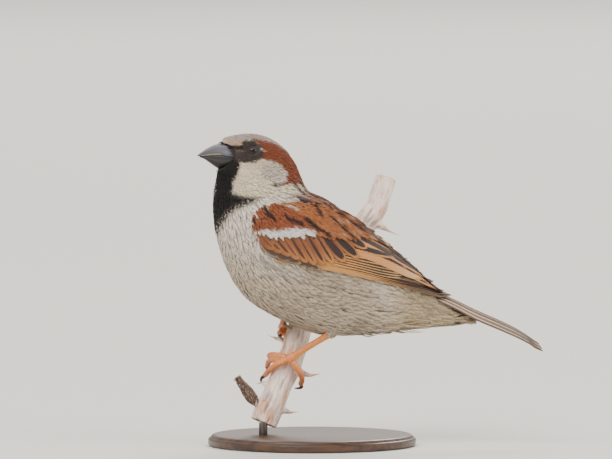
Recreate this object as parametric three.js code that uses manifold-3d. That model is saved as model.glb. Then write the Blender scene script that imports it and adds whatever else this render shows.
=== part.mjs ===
// A male house sparrow, life size, that grips a short cut length of bramble stem on a plain display stand.
// Millimetres, +Z up. The bill points to -X, the bird's left side faces -Y, and the origin is the centre of
// the underside of the stand's base. The solids reach out to the tips of the plumage.
import * as THREE from "three";
import { mergeVertices } from "three/addons/utils/BufferGeometryUtils.js";
import Module from "manifold-3d";

const wasm = await Module();
wasm.setup();

// ---------------------------------------------------------------- driving dimensions

const GAP = 0.3; // clearance between pieces that meet
const LEFT = -1; // the sign of y on the bird's left side
const RIGHT = 1;

const BODY = { around: 24, ringsPerStation: 1.8 };
// Stations from the face to the tips of the undertail coverts: the top and underside points (x, z) of a
// section, its half width, and how far its widest line lies below the middle, as a share of half its depth.
const STATIONS = [
  { name: "face", top: [-34.4, 108.6], under: [-34.7, 103.8], half: 1.4, low: 0 },
  { name: "bill_base", top: [-32.2, 112.3], under: [-34.8, 100.7], half: 2.6, low: -0.3 },
  { name: "forehead", top: [-26.6, 114.1], under: [-35.1, 97.8], half: 3.9, low: -0.3 },
  { name: "crown", top: [-18.2, 113.7], under: [-35.7, 94.9], half: 7.2, low: 0 },
  { name: "hindcrown", top: [-10.4, 109.2], under: [-36.0, 91.2], half: 10.3, low: 0.1 },
  { name: "nape", top: [-4.9, 101.4], under: [-36.3, 87.6], half: 12.4, low: 0.05 },
  { name: "shoulder", top: [-1.8, 94.0], under: [-36.2, 82.1], half: 14.8, low: 0 },
  { name: "breast_top", top: [4.7, 90.5], under: [-34.7, 75.2], half: 17.6, low: 0 },
  { name: "breast", top: [12.0, 85.4], under: [-31.4, 65.0], half: 19.4, low: 0.05 },
  { name: "back", top: [19.6, 77.8], under: [-24.8, 54.4], half: 19.8, low: 0.1 },
  { name: "belly", top: [28.8, 70.4], under: [-13.5, 47.1], half: 18.4, low: 0.1 },
  { name: "rump", top: [36.8, 63.4], under: [2.2, 40.6], half: 14.8, low: 0.1 },
  { name: "vent", top: [43.0, 57.4], under: [19.3, 40.6], half: 10.4, low: 0.1 },
  { name: "undertail", top: [48.6, 53.4], under: [35.8, 42.3], half: 6.6, low: 0 },
  { name: "covert_tips", top: [54.5, 49.0], under: [48.5, 43.8], half: 4.2, low: 0 },
  { name: "end", top: [59.4, 46.6], under: [59.0, 45.4], half: 1.4, low: 0 },
];
const FULLNESS = 2.2; // superellipse power of a section of the body
// Where thin cuts part the body, counted in stations.
const BODY_CUTS = { neck: 4.75, trunk: 6.6, undertail: 12.2, half: 0.02 };

const EYE = { x: -21.5, z: 107.7, y: 5.6, r: 2.35, around: 12 };

const BILL = { around: 12, rings: 8 };
// From the root inside the face to the tip: culmen, cutting edge and keel heights, and half width.
const BILL_STATIONS = [
  { x: -27.4, culmen: 109.0, edge: 105.2, keel: 102.6, half: 4.5 },
  { x: -31.0, culmen: 110.4, edge: 106.0, keel: 101.7, half: 4.4 },
  { x: -34.2, culmen: 110.4, edge: 106.3, keel: 101.6, half: 3.8 },
  { x: -36.6, culmen: 109.6, edge: 106.2, keel: 103.0, half: 3.0 },
  { x: -38.9, culmen: 108.4, edge: 106.1, keel: 104.5, half: 2.0 },
  { x: -40.7, culmen: 107.1, edge: 105.9, keel: 105.3, half: 1.0 },
  { x: -41.9, culmen: 106.1, edge: 105.7, keel: 105.5, half: 0.25 },
];
const LOWER_TIP_SET_BACK = 0.7; // the upper tip overhangs the lower one

// The folded wing is a shell over the flank inside this outline (x, z): forward edge, top, tip, underside.
const WING_OUTLINE = [
  [-22.4, 82.0], [-19.0, 88.0], [-8.0, 89.8], [3.0, 88.4], [14.0, 83.6], [26.0, 75.6],
  [38.0, 66.2], [47.0, 58.9], [52.2, 54.4],
  [46.0, 55.2], [36.0, 56.8], [26.0, 58.8], [15.0, 61.0], [5.0, 63.3], [-6.0, 66.4],
  [-14.5, 70.8], [-20.0, 76.6],
];
// It is thick on the flank and thin beside the middle of the back.
const WING = { thick: 1.9, thin: 0.7, midGap: 0.7, reach: 30, points: 40, cutAt: [13, 71], cutTurn: 0.62 };

const TAIL = { across: 8, along: 8, half: [5.0, 6.6, 7.8], droop: [2.4, 3.0, 2.0], thick: 1.3, fork: 2.6 };
const TAIL_TOP = [[45.0, 56.4], [52.0, 53.6], [60.4, 49.5], [69.3, 45.6], [77.0, 41.8], [84.6, 36.9]];

// The stem's middle line, from its cut foot to its cut head.
const STEM_LINE = [
  [-17.8, -2.3, 8.4], [-14.2, -1.0, 17.0], [-10.4, 1.0, 26.0], [-6.8, 4.4, 35.0], [-4.6, 9.6, 42.6],
  [-2.4, 17.0, 49.6], [1.6, 24.6, 56.8], [8.4, 30.6, 65.4], [16.8, 35.4, 75.6], [24.0, 39.0, 85.6],
  [27.4, 41.6, 96.0],
];
const STEM = { r: 5.0, around: 12, steps: 20 };
const KNOTS = { at: [0.035, 0.2, 0.49, 0.83], swell: 0.5, spread: 0.03 };
// Thorns: where along the stem, the turn round it from the side nearest -Y towards +X, length and rise.
const THORNS = [
  { at: 0.064, turn: 84, length: 5.6, rise: 1.3 },
  { at: 0.122, turn: -100, length: 3.2, rise: -1.1 },
  { at: 0.2, turn: 88, length: 8.0, rise: 2.1 },
  { at: 0.288, turn: -96, length: 6.0, rise: 0.5 },
  { at: 0.57, turn: 120, length: 6.0, rise: -0.6 },
  { at: 0.71, turn: -150, length: 6.4, rise: -0.5 },
  { at: 0.85, turn: 75, length: 8.0, rise: 0.4 },
];
const THORN = { root: 1.9, tip: 0.2, sink: 1.6, around: 7, steps: 4 };
const BUD = { root: 0.9, swell: 0.9, tip: 0.5, around: 7, steps: 5 };
const BUD_LINE = [[-18.2, -1.9, 13.6], [-20.8, -2.6, 16.0], [-23.4, -3.0, 19.6], [-26.6, -3.2, 24.2]];

const STAND = { r: 38, thick: 4.2, edge: 0.8, sides: 40 };
const ROD = { r: 1.6, sink: 3.0, rise: 6.0, sides: 14 };

// Legs: the heel, where and how far round the stem the toes meet, and the hidden end of the feathered thigh.
const LEGS = {
  left: { heel: [7.0, -8.0, 41.6], at: 0.213, turn: -2, thigh: [16.5, -7.6, 48.0] },
  right: { heel: [5.5, 14.5, 47.6], at: 0.35, turn: -142, thigh: [16.5, 9.6, 51.0] },
};
const THIGH = { root: 4.6, end: 2.2, around: 12, steps: 5 };
const TARSUS = { r: 1.3, heelR: 1.6, padR: 1.95, ballR: 1.8, swell: 0.13, bow: 0.35, lift: 1.6 };
const TARSUS_FACES = { around: 9, steps: 7 };
const TOE = { root: 1.16, end: 0.86, around: 8, steps: 6, knuckle: 0.12, rootRise: 0.5 };
const CLAW = { share: 0.27, gap: 0.025, root: 0.66, tip: 0.07, around: 6, steps: 5 };
// Each toe: turn round the stem that it covers, climb along the stem in mm of the toe and of its claw, how
// far it bows off the bark half way, and the claw's arch.
const LEFT_TOES = [
  { name: "toe_1", turn: 116, climb: -7.2, clawClimb: 0, bow: 1.1, arch: 1.6 },
  { name: "toe_2", turn: -110, climb: -0.7, clawClimb: 3.0, bow: 1.2, arch: 0.9 },
  { name: "toe_3", turn: -138, climb: -4.4, clawClimb: 0, bow: 0.1, arch: 1.0 },
  { name: "toe_4", turn: -102, climb: -10.6, clawClimb: 0, bow: 0, arch: 0.7 },
];
const RIGHT_TOES = [
  { name: "toe_1", turn: -96, climb: -4.0, clawClimb: 0, bow: 0.2, arch: 1.4 },
  { name: "toe_2", turn: 92, climb: 1.6, clawClimb: 0, bow: 0.2, arch: 1.1 },
  { name: "toe_3", turn: 112, climb: -3.4, clawClimb: -1.4, bow: 0.3, arch: 1.2 },
  { name: "toe_4", turn: 96, climb: -8.4, clawClimb: -1.2, bow: 0.2, arch: 1.1 },
];

// ---------------------------------------------------------------- making and cutting solids

// A closed cylinder whose every vertex is placed by place(along 0..1, angle, share of the radius 0..1).
function tube(around, rings, place) {
  const g = new THREE.CylinderGeometry(1, 1, 1, around, rings);
  g.deleteAttribute("normal");
  g.deleteAttribute("uv");
  const pos = g.getAttribute("position");
  for (let i = 0; i < pos.count; i++) {
    const [x, y, z] = [pos.getX(i), pos.getY(i), pos.getZ(i)];
    const p = place(0.5 - y, Math.atan2(z, x), Math.min(1, Math.hypot(x, z)));
    pos.setXYZ(i, p.x, p.y, p.z);
  }
  return mergeVertices(g, 1e-4);
}

// A merged geometry as a manifold solid, turned the right way out.
function solid(geometry) {
  const bare = geometry.clone();
  bare.deleteAttribute("normal");
  bare.deleteAttribute("uv");
  const g = mergeVertices(bare, 1e-4);
  const vertProperties = new Float32Array(g.attributes.position.array);
  const triVerts = new Uint32Array(g.index.array);
  const made = new wasm.Manifold(new wasm.Mesh({ numProp: 3, vertProperties, triVerts }));
  if (made.volume() > 0) return made;
  for (let i = 0; i < triVerts.length; i += 3) {
    [triVerts[i + 1], triVerts[i + 2]] = [triVerts[i + 2], triVerts[i + 1]];
  }
  return new wasm.Manifold(new wasm.Mesh({ numProp: 3, vertProperties, triVerts }));
}

// The largest of the bodies that a cut leaves.
function largest(made) {
  return made.decompose().reduce((a, b) => (a.volume() > b.volume() ? a : b));
}

function geometryOf(made) {
  const mesh = made.getMesh();
  const places = new Float32Array(mesh.numVert * 3);
  for (let i = 0; i < mesh.numVert; i++) {
    places.set(mesh.vertProperties.subarray(i * mesh.numProp, i * mesh.numProp + 3), i * 3);
  }
  const g = new THREE.BufferGeometry();
  g.setAttribute("position", new THREE.BufferAttribute(places, 3));
  g.setIndex(new THREE.BufferAttribute(mesh.triVerts, 1));
  g.computeVertexNormals();
  return g;
}

function finish(color, roughness, metalness = 0) {
  return new THREE.MeshStandardMaterial({ color, roughness, metalness });
}

const LOOKS = {
  crown: finish(0x8a857c, 0.9),
  plumage: finish(0xa9a297, 0.92),
  chestnut: finish(0x7d4426, 0.85),
  quills: finish(0x8d6a47, 0.8),
  tail: finish(0x75655a, 0.8),
  bill: finish(0x34333a, 0.4),
  eye: finish(0x120d0b, 0.08),
  leg: finish(0xc98a68, 0.55),
  claw: finish(0x3b2c24, 0.4),
  stem: finish(0xa89c94, 0.9),
  bud: finish(0x5a4337, 0.95),
  base: finish(0x2c221c, 0.5),
  steel: finish(0x9a9c9f, 0.35, 1),
};

const group = new THREE.Group();
group.name = "house_sparrow";

function add(name, made, look) {
  const mesh = new THREE.Mesh(geometryOf(largest(made)), look);
  mesh.name = name;
  group.add(mesh);
}

// ---------------------------------------------------------------- head, neck, trunk and undertail

const along = (points) => new THREE.CatmullRomCurve3(points, false, "catmullrom", 0.5);
const topLine = along(STATIONS.map((s) => new THREE.Vector3(s.top[0], s.half, s.top[1])));
const underLine = along(STATIONS.map((s) => new THREE.Vector3(s.under[0], s.low, s.under[1])));
const LAST = STATIONS.length - 1;

// The body's surface at a station count and an angle from the back, grown outwards by swell(angle).
function bodyPoint(station, angle, share, swell) {
  const grow = swell(angle);
  const top = topLine.getPoint(station / LAST);
  const under = underLine.getPoint(station / LAST);
  const half = top.y;
  const low = under.y;
  top.y = 0;
  under.y = 0;
  const middle = top.clone().add(under).multiplyScalar(0.5);
  const up = top.clone().sub(under);
  const depth = up.length() / 2;
  up.normalize();
  const power = 2 / FULLNESS;
  const rise = Math.sign(Math.cos(angle)) * Math.abs(Math.cos(angle)) ** power;
  const out = Math.sign(Math.sin(angle)) * Math.abs(Math.sin(angle)) ** power;
  const lowered = rise - low * (1 - rise * rise);
  return middle
    .addScaledVector(up, share * lowered * (depth + grow))
    .add(new THREE.Vector3(0, share * out * (half + grow), 0));
}

// The body between two station counts, grown outwards by swell(angle).
function bodyLength(from, to, swell = () => 0) {
  const rings = Math.max(3, Math.round((to - from) * BODY.ringsPerStation));
  return solid(
    tube(BODY.around, rings, (v, angle, share) => bodyPoint(from + v * (to - from), angle, share, swell)),
  );
}

// ---------------------------------------------------------------- bill

const billLine = (key) => along(BILL_STATIONS.map((s) => new THREE.Vector3(s.x, s[key], s.half)));

// One mandible: a half section that stands on the cutting edge, up to the culmen or down to the keel.
function mandible(rim, setBack, grow = 0) {
  const edgeLine = billLine("edge");
  const rimLine = billLine(rim);
  const sign = rim === "culmen" ? 1 : -1;
  return solid(
    tube(BILL.around, BILL.rings, (v, angle, share) => {
      const edge = edgeLine.getPoint(v);
      const reach = Math.max(0.12, Math.abs(rimLine.getPoint(v).y - edge.y) - GAP / 2) + grow;
      const rise = Math.cos(angle) > 0 ? reach * Math.cos(angle) ** 0.7 : grow * Math.cos(angle);
      return new THREE.Vector3(
        edge.x + setBack * v - grow * (2 * v - 1),
        share * Math.sin(angle) * (edge.z + grow),
        edge.y + sign * (GAP / 2 + share * rise),
      );
    }),
  );
}

const bill = {
  upper: mandible("culmen", 0),
  lower: mandible("keel", LOWER_TIP_SET_BACK),
};
const billRoom = mandible("culmen", 0, GAP).add(mandible("keel", LOWER_TIP_SET_BACK, GAP));

// ---------------------------------------------------------------- eyes

function eyeball(side, grow = 0) {
  const g = new THREE.SphereGeometry(EYE.r + grow, EYE.around, EYE.around / 2);
  return solid(g.translate(EYE.x, side * EYE.y, EYE.z));
}

// ---------------------------------------------------------------- tail

const tailTop = along(TAIL_TOP.map(([x, z]) => new THREE.Vector3(x, 0, z)));

// Value at v of a quantity that is given at the root, middle and tip.
function spread([root, middle, tip], v) {
  return root * (1 - v) * (1 - 2 * v) + 4 * middle * v * (1 - v) + tip * v * (2 * v - 1);
}

// The closed fan: a roof of feathers, high in the middle, with a notch at the tip.
function tailFan(grow = 0) {
  const g = new THREE.BoxGeometry(1, 1, 1, TAIL.along, TAIL.across, 1);
  const pos = g.getAttribute("position");
  for (let i = 0; i < pos.count; i++) {
    const v = pos.getX(i) + 0.5;
    const across = pos.getY(i) * 2;
    const p = tailTop.getPoint(v);
    const notch = TAIL.fork * v * (1 - Math.abs(across)) - grow * (2 * v - 1);
    const drop = spread(TAIL.droop, v) * Math.abs(across) ** 1.6;
    const thick = TAIL.thick * (1 - 0.35 * Math.abs(across)) * (1 - 0.4 * v);
    const level = pos.getZ(i) > 0 ? grow : -thick - grow;
    pos.setXYZ(i, p.x - notch, across * (spread(TAIL.half, v) + grow), p.z - drop + level + notch * 0.45);
  }
  return solid(g);
}

// ---------------------------------------------------------------- wings

const wingShape = new THREE.Shape(
  new THREE.CatmullRomCurve3(
    WING_OUTLINE.map(([x, z]) => new THREE.Vector3(x, z, 0)),
    true,
    "centripetal",
  )
    .getPoints(WING.points)
    .slice(0, -1)
    .map((p) => new THREE.Vector2(p.x, p.y)),
);

// The wing outline as a block on one side of the body.
function wingBlock(side) {
  const g = new THREE.ExtrudeGeometry(wingShape, { depth: WING.reach, bevelEnabled: false });
  g.rotateX(Math.PI / 2);
  g.translate(0, side === LEFT ? -WING.midGap : WING.midGap + WING.reach, 0);
  return solid(g);
}

const WING_SPAN = [2.2, 13.9]; // the stations between which the wings lie
const bodyRoom = bodyLength(...WING_SPAN, () => GAP);
const wingSkin = bodyLength(...WING_SPAN, (angle) => {
  const flank = Math.min(1, 1.7 * Math.abs(Math.sin(angle)));
  return GAP + WING.thin + (WING.thick - GAP - WING.thin) * flank;
});

function wing(side, tailRoom) {
  return largest(wingSkin.subtract(bodyRoom).intersect(wingBlock(side)).subtract(tailRoom));
}

// A thin slab that parts the coverts from the long quills.
const wingSlab = solid(
  new THREE.BoxGeometry(GAP, 4 * WING.reach, 4 * WING.reach)
    .rotateY(WING.cutTurn)
    .translate(WING.cutAt[0], 0, WING.cutAt[1]),
);

// ---------------------------------------------------------------- perch

const vector = ([x, y, z]) => new THREE.Vector3(x, y, z);
const stemLine = new THREE.CatmullRomCurve3(STEM_LINE.map(vector), false, "centripetal");
const STEM_LENGTH = stemLine.getLength();

function stemRadius(at) {
  const swell = KNOTS.at.reduce((sum, k) => sum + Math.exp(-(((at - k) / KNOTS.spread) ** 2)), 0);
  return STEM.r * (1.04 - 0.16 * at) + KNOTS.swell * swell;
}

// The stem's middle, its direction, and its outward direction at a turn in degrees from the -Y side to +X.
function stemFrame(at, turn) {
  const middle = stemLine.getPointAt(THREE.MathUtils.clamp(at, 0, 1));
  const up = stemLine.getTangentAt(THREE.MathUtils.clamp(at, 0, 1));
  const near = new THREE.Vector3(0, -1, 0).addScaledVector(up, up.y).normalize();
  const right = up.clone().cross(near).normalize();
  if (right.x < 0) right.negate();
  const a = THREE.MathUtils.degToRad(turn);
  const out = near.multiplyScalar(Math.cos(a)).addScaledVector(right, Math.sin(a));
  return { middle, up, out };
}

// A point at a height above the stem's bark.
function onStem(at, turn, lift) {
  const f = stemFrame(at, turn);
  return f.middle.addScaledVector(f.out, stemRadius(at) + lift);
}

// A round sweep along a curve, with its radius from radius(v, angle).
function sweep(curve, around, steps, radius) {
  const frames = curve.computeFrenetFrames(steps * 4, false);
  return solid(
    tube(around, steps, (v, angle, share) => {
      const i = Math.round(v * steps * 4);
      const r = share * radius(v, angle);
      return curve
        .getPointAt(v)
        .addScaledVector(frames.normals[i], r * Math.cos(angle))
        .addScaledVector(frames.binormals[i], r * Math.sin(angle));
    }),
  );
}

function thorn({ at, turn, length, rise }) {
  const root = onStem(at, turn, -THORN.sink);
  const f = stemFrame(at, turn);
  const bend = onStem(at, turn, length * 0.45).addScaledVector(f.up, rise * 0.2);
  const tip = onStem(at, turn, length).addScaledVector(f.up, rise * 1.6);
  const curve = new THREE.CatmullRomCurve3([root, bend, tip]);
  return sweep(curve, THORN.around, THORN.steps, (v) => THORN.tip + THORN.root * (1 - v) ** 1.9);
}

function stem(grow = 0) {
  return sweep(stemLine, STEM.around, STEM.steps, (v, angle) => {
    const ribs = 0.22 * Math.cos(3 * angle + 5 * v) + 0.12 * Math.cos(5 * angle - 9 * v);
    return stemRadius(v) - 0.34 + ribs + grow;
  });
}

const budLine = new THREE.CatmullRomCurve3(BUD_LINE.map(vector));

function bud() {
  const radius = (v) => BUD.root + BUD.swell * Math.sin(Math.PI * v) ** 2 + BUD.tip * v;
  return sweep(budLine, BUD.around, BUD.steps, radius);
}

// ---------------------------------------------------------------- stand

const stemFoot = vector(STEM_LINE[0]);

function disc() {
  const { r, thick, edge } = STAND;
  const profile = [
    [0, 0], [r, 0], [r, thick - edge], [r - edge, thick], [0, thick],
  ].map(([x, y]) => new THREE.Vector2(x, y));
  return solid(new THREE.LatheGeometry(profile, STAND.sides).rotateX(Math.PI / 2));
}

function rod(grow = 0) {
  const low = STAND.thick - ROD.sink - grow;
  const high = stemFoot.z + ROD.rise + grow;
  const g = new THREE.CylinderGeometry(ROD.r + grow, ROD.r + grow, high - low, ROD.sides);
  return solid(g.rotateX(Math.PI / 2).translate(stemFoot.x, stemFoot.y, (low + high) / 2));
}

// ---------------------------------------------------------------- legs and feet

// A toe and its claw follow one line that winds round the stem, clear of the bark.
function toeLine(leg, toe) {
  const points = [];
  const count = 12;
  for (let i = 0; i <= count; i++) {
    const v = i / count;
    const claw = Math.max(0, (v - (1 - CLAW.share)) / CLAW.share);
    const r = TOE.root * (1 - v) + TOE.end * v;
    const arched = (toe.arch * (1 - Math.cos(2 * Math.PI * claw))) / 2;
    const bowed = toe.bow * Math.sin(Math.PI * v) ** 2 + arched;
    const lift = r + GAP + bowed + TOE.rootRise * (1 - v) ** 4;
    const climb = toe.climb * v + toe.clawClimb * claw;
    points.push(onStem(leg.at + climb / STEM_LENGTH, leg.turn + toe.turn * v, lift));
  }
  return new THREE.CatmullRomCurve3(points);
}

// The part of a curve between two shares of its length, as a curve of its own.
function stretch(curve, from, to) {
  const points = [];
  for (let i = 0; i <= 10; i++) points.push(curve.getPointAt(from + ((to - from) * i) / 10));
  return new THREE.CatmullRomCurve3(points);
}

function toeSolid(line, grow = 0) {
  const body = stretch(line, 0, 1 - CLAW.share);
  return sweep(body, TOE.around, TOE.steps, (v) => {
    const knuckles = TOE.knuckle * Math.cos(v * Math.PI * 6) ** 2;
    return TOE.root * (1 - v) + TOE.end * v + knuckles + grow;
  });
}

function clawSolid(line, grow = 0) {
  const part = stretch(line, 1 - CLAW.share + CLAW.gap, 1);
  return sweep(part, CLAW.around, CLAW.steps, (v) => CLAW.root * (1 - v) ** 0.8 + CLAW.tip + grow);
}

function tarsusSolid(leg, grow = 0) {
  const heel = vector(leg.heel);
  const foot = onStem(leg.at, leg.turn, TARSUS.lift + GAP);
  const bow = heel.clone().lerp(foot, 0.5).add(new THREE.Vector3(TARSUS.bow, 0, TARSUS.bow));
  const line = new THREE.CatmullRomCurve3([heel, bow, foot]);
  return sweep(line, TARSUS_FACES.around, TARSUS_FACES.steps, (v) => {
    const heelSwell = (TARSUS.heelR - TARSUS.r) * Math.exp(-((v / TARSUS.swell) ** 2));
    const padSwell = (TARSUS.padR - TARSUS.r) * Math.exp(-(((1 - v) / TARSUS.swell) ** 2));
    return TARSUS.r + heelSwell + padSwell + grow;
  }).add(ball(foot, TARSUS.ballR + grow));
}

function ball(at, r) {
  return solid(new THREE.SphereGeometry(r, 10, 7).translate(at.x, at.y, at.z));
}

function thighSolid(leg, grow = 0) {
  const heel = vector(leg.heel);
  const root = vector(leg.thigh);
  const middle = root.clone().lerp(heel, 0.55);
  const line = new THREE.CatmullRomCurve3([root, middle, heel.clone().lerp(root, 0.08)]);
  return sweep(line, THIGH.around, THIGH.steps, (v) => THIGH.root * (1 - v) + THIGH.end * v + grow);
}

// ---------------------------------------------------------------- assembly

const stemRoom = stem(GAP * 0.5);
const perch = THORNS.reduce((sum, t) => sum.add(thorn(t)), stem()).subtract(rod(GAP));
const tailRoom = tailFan(GAP);

const legs = Object.entries(LEGS).map(([name, leg]) => {
  const toes = name === "left" ? LEFT_TOES : RIGHT_TOES;
  return { name, leg, digits: toes.map((t) => ({ name: t.name, line: toeLine(leg, t) })) };
});

let legRoom = null;
for (const { name, leg, digits } of legs) {
  const tarsus = tarsusSolid(leg).subtract(stemRoom).subtract(perch);
  const thigh = thighSolid(leg).subtract(tarsusSolid(leg, GAP));
  add(`${name}_tarsus`, tarsus, LOOKS.leg);
  add(`${name}_thigh`, thigh, LOOKS.plumage);
  let taken = tarsusSolid(leg, GAP).add(stemRoom);
  for (const { name: toe, line } of digits) {
    add(`${name}_${toe}`, toeSolid(line).subtract(taken).subtract(perch), LOOKS.leg);
    add(`${name}_claw_${toe.slice(-1)}`, clawSolid(line).subtract(taken).subtract(perch), LOOKS.claw);
    taken = taken.add(toeSolid(line, GAP)).add(clawSolid(line, GAP));
  }
  const room = thighSolid(leg, GAP).add(tarsusSolid(leg, GAP));
  legRoom = legRoom ? legRoom.add(room).add(taken) : room.add(taken);
}

const { neck, trunk, undertail, half } = BODY_CUTS;
const head = bodyLength(0, neck - half).subtract(billRoom);
add("head", head.subtract(eyeball(LEFT, GAP)).subtract(eyeball(RIGHT, GAP)), LOOKS.crown);
add("neck", bodyLength(neck + half, trunk - half), LOOKS.plumage);
add("trunk", bodyLength(trunk + half, undertail - half).subtract(tailRoom).subtract(legRoom), LOOKS.plumage);
add("undertail", bodyLength(undertail + half, LAST).subtract(tailRoom), LOOKS.plumage);
add("bill_upper", bill.upper, LOOKS.bill);
add("bill_lower", bill.lower, LOOKS.bill);
add("tail", tailFan(), LOOKS.tail);

for (const [name, side] of [["left", LEFT], ["right", RIGHT]]) {
  add(`${name}_eye`, eyeball(side), LOOKS.eye);
  const halves = wing(side, tailRoom).subtract(wingSlab).decompose();
  const forward = (m) => (m.boundingBox().min[0] + m.boundingBox().max[0]) / 2;
  const [coverts, quills] = halves.sort((a, b) => b.volume() - a.volume()).slice(0, 2)
    .sort((a, b) => forward(a) - forward(b));
  add(`${name}_wing_coverts`, coverts, LOOKS.chestnut);
  add(`${name}_wing_quills`, quills, LOOKS.quills);
}

add("perch_stem", perch, LOOKS.stem);
add("perch_bud", bud().subtract(stem(GAP)).subtract(perch), LOOKS.bud);
add("stand_base", disc().subtract(rod(GAP)), LOOKS.base);
add("stand_rod", rod(), LOOKS.steel);

export default group;
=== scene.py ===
# %% [markdown]
# # A male house sparrow on a cut length of bramble
# A museum's model maker works from the inside out: a smooth body first, then thousands of feathers laid
# over it from the tail towards the head, then the bill, the eyes and the feet. This lesson does the same.
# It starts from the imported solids, which fix every size and place, and never moves them.

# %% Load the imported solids
import itertools
import math
import random

import bmesh
import bpy
import numpy as np
from mathutils import Matrix, Vector, noise
from mathutils.bvhtree import BVHTree


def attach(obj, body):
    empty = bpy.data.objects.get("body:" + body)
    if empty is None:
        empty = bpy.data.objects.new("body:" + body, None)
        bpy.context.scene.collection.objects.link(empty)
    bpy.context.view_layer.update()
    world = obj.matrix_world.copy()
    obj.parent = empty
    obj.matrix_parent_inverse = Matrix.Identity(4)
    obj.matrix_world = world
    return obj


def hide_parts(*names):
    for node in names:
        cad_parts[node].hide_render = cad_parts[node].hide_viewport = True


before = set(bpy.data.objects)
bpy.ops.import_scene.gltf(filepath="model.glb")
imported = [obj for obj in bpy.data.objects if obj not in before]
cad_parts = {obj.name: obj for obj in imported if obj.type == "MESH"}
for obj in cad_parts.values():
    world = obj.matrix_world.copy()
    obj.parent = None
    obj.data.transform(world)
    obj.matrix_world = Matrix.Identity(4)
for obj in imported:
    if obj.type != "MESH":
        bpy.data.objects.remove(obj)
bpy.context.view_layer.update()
MM = 0.001  # the pieces are shaped in millimetres and scaled to metres when they are finished
SIDES = {"left": -1, "right": 1}  # the sign of y on each side of the bird

# %% [markdown]
# ## Camera, floor and light
# A long lens far from the bird keeps its proportions. Large area lights stand in for a bright, cloudy
# sky: one above and in front, a weaker one from the other side, and one behind that draws a thin light
# edge along the back. A sun lamp would be simpler, but its hard shadows would hide the soft feathers.

# %% Camera and stage
TARGET = Vector((-2.19, 0.0, 79.02)) * MM
DISTANCE, ELEVATION = 3.0, math.radians(3.0)
VIEW_WIDTH = 0.22338  # metres across the view at the bird
SENSOR, CLIP = 36.0, (0.05, 20.0)
LAMPS = {  # place, size and power of each lamp
    "sky_front": ((-1.5, -2.5, 3.2), 3.0, 168.0),
    "sky_side": ((2.6, -1.5, 1.5), 2.4, 50.0),
    "sky_back": ((1.2, 5.2, 4.8), 4.5, 420.0),
}
LAMP_COLOUR = (1.0, 0.95, 0.89)
ROOM_COLOUR, ROOM_LIGHT = (0.88, 0.85, 0.81, 1), 0.78
FLOOR_RADIUS = 14.0


def new_object(name, data):
    """A camera, lamp or mesh as an object of the scene."""
    obj = bpy.data.objects.new(name, data)
    bpy.context.scene.collection.objects.link(obj)
    return obj


def mesh_of(bm, name):
    """A mesh made from a bmesh, which is freed."""
    mesh = bpy.data.meshes.new(name)
    bm.to_mesh(mesh)
    bm.free()
    return mesh


def aim(obj, at):
    """Turns a camera or lamp to face a point."""
    obj.rotation_euler = (at - obj.location).to_track_quat("-Z", "Y").to_euler()


camera = new_object("camera", bpy.data.cameras.new("camera"))
camera.location = TARGET + DISTANCE * Vector((0, -math.cos(ELEVATION), math.sin(ELEVATION)))
aim(camera, TARGET)
camera.data.sensor_width = SENSOR
camera.data.lens = SENSOR * DISTANCE / VIEW_WIDTH
camera.data.clip_start, camera.data.clip_end = CLIP
bpy.context.scene.camera = camera

for lamp_name, (place, size, power) in LAMPS.items():
    lamp = new_object(lamp_name, bpy.data.lights.new(lamp_name, "AREA"))
    lamp.location = place
    lamp.data.shape = "DISK"
    lamp.data.size = size
    lamp.data.energy = power
    lamp.data.color = LAMP_COLOUR
    aim(lamp, TARGET)

world = bpy.data.worlds.new("pale_room")
bpy.context.scene.world = world
world.use_nodes = True
background = world.node_tree.nodes["Background"]
background.inputs["Color"].default_value = ROOM_COLOUR
background.inputs["Strength"].default_value = ROOM_LIGHT

floor_bm = bmesh.new()
bmesh.ops.create_circle(floor_bm, cap_ends=True, segments=96, radius=FLOOR_RADIUS)
floor = new_object("studio_floor", mesh_of(floor_bm, "studio_floor"))
print("camera lens", round(camera.data.lens, 1), "mm;", len(LAMPS), "lamps")

# %% [markdown]
# ## Helpers for shapes and finishes
# Every piece is a bmesh in millimetres that `finish_piece` scales to metres, names, links and hands to the
# frame. Every finish is a small node tree, and `Nodes` keeps its wiring short enough to read.


# %% Piece helpers
def rgb(red, green, blue):
    """A colour picked on a 0 to 255 screen scale, as the linear numbers that shaders use."""
    screen = (c / 255 for c in (red, green, blue))
    return np.array([((c + 0.055) / 1.055) ** 2.4 if c > 0.04 else c / 12.92 for c in screen])


def finish_piece(name, mesh, material, replaces=(), smooth=True):
    """Turns a bmesh or mesh in millimetres into a named piece in metres that rides on the one body."""
    if isinstance(mesh, bmesh.types.BMesh):
        mesh = mesh_of(mesh, name)
    mesh.transform(Matrix.Scale(MM, 4))
    mesh.polygons.foreach_set("use_smooth", [smooth] * len(mesh.polygons))
    mesh.materials.append(material)
    piece = new_object(name, mesh)
    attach(piece, "root")
    if replaces:
        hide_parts(*replaces)
    mesh.calc_loop_triangles()
    print(f"{name}: {len(mesh.loop_triangles)} triangles")
    return piece


def cad_copy(*names):
    """The named solids in one new bmesh, in millimetres, with their loose triangles merged."""
    bm = bmesh.new()
    for name in names:
        bm.from_mesh(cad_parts[name].data)
    bmesh.ops.remove_doubles(bm, verts=bm.verts, dist=1e-6)
    bmesh.ops.scale(bm, verts=bm.verts, vec=(1 / MM,) * 3)
    return bm


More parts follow.
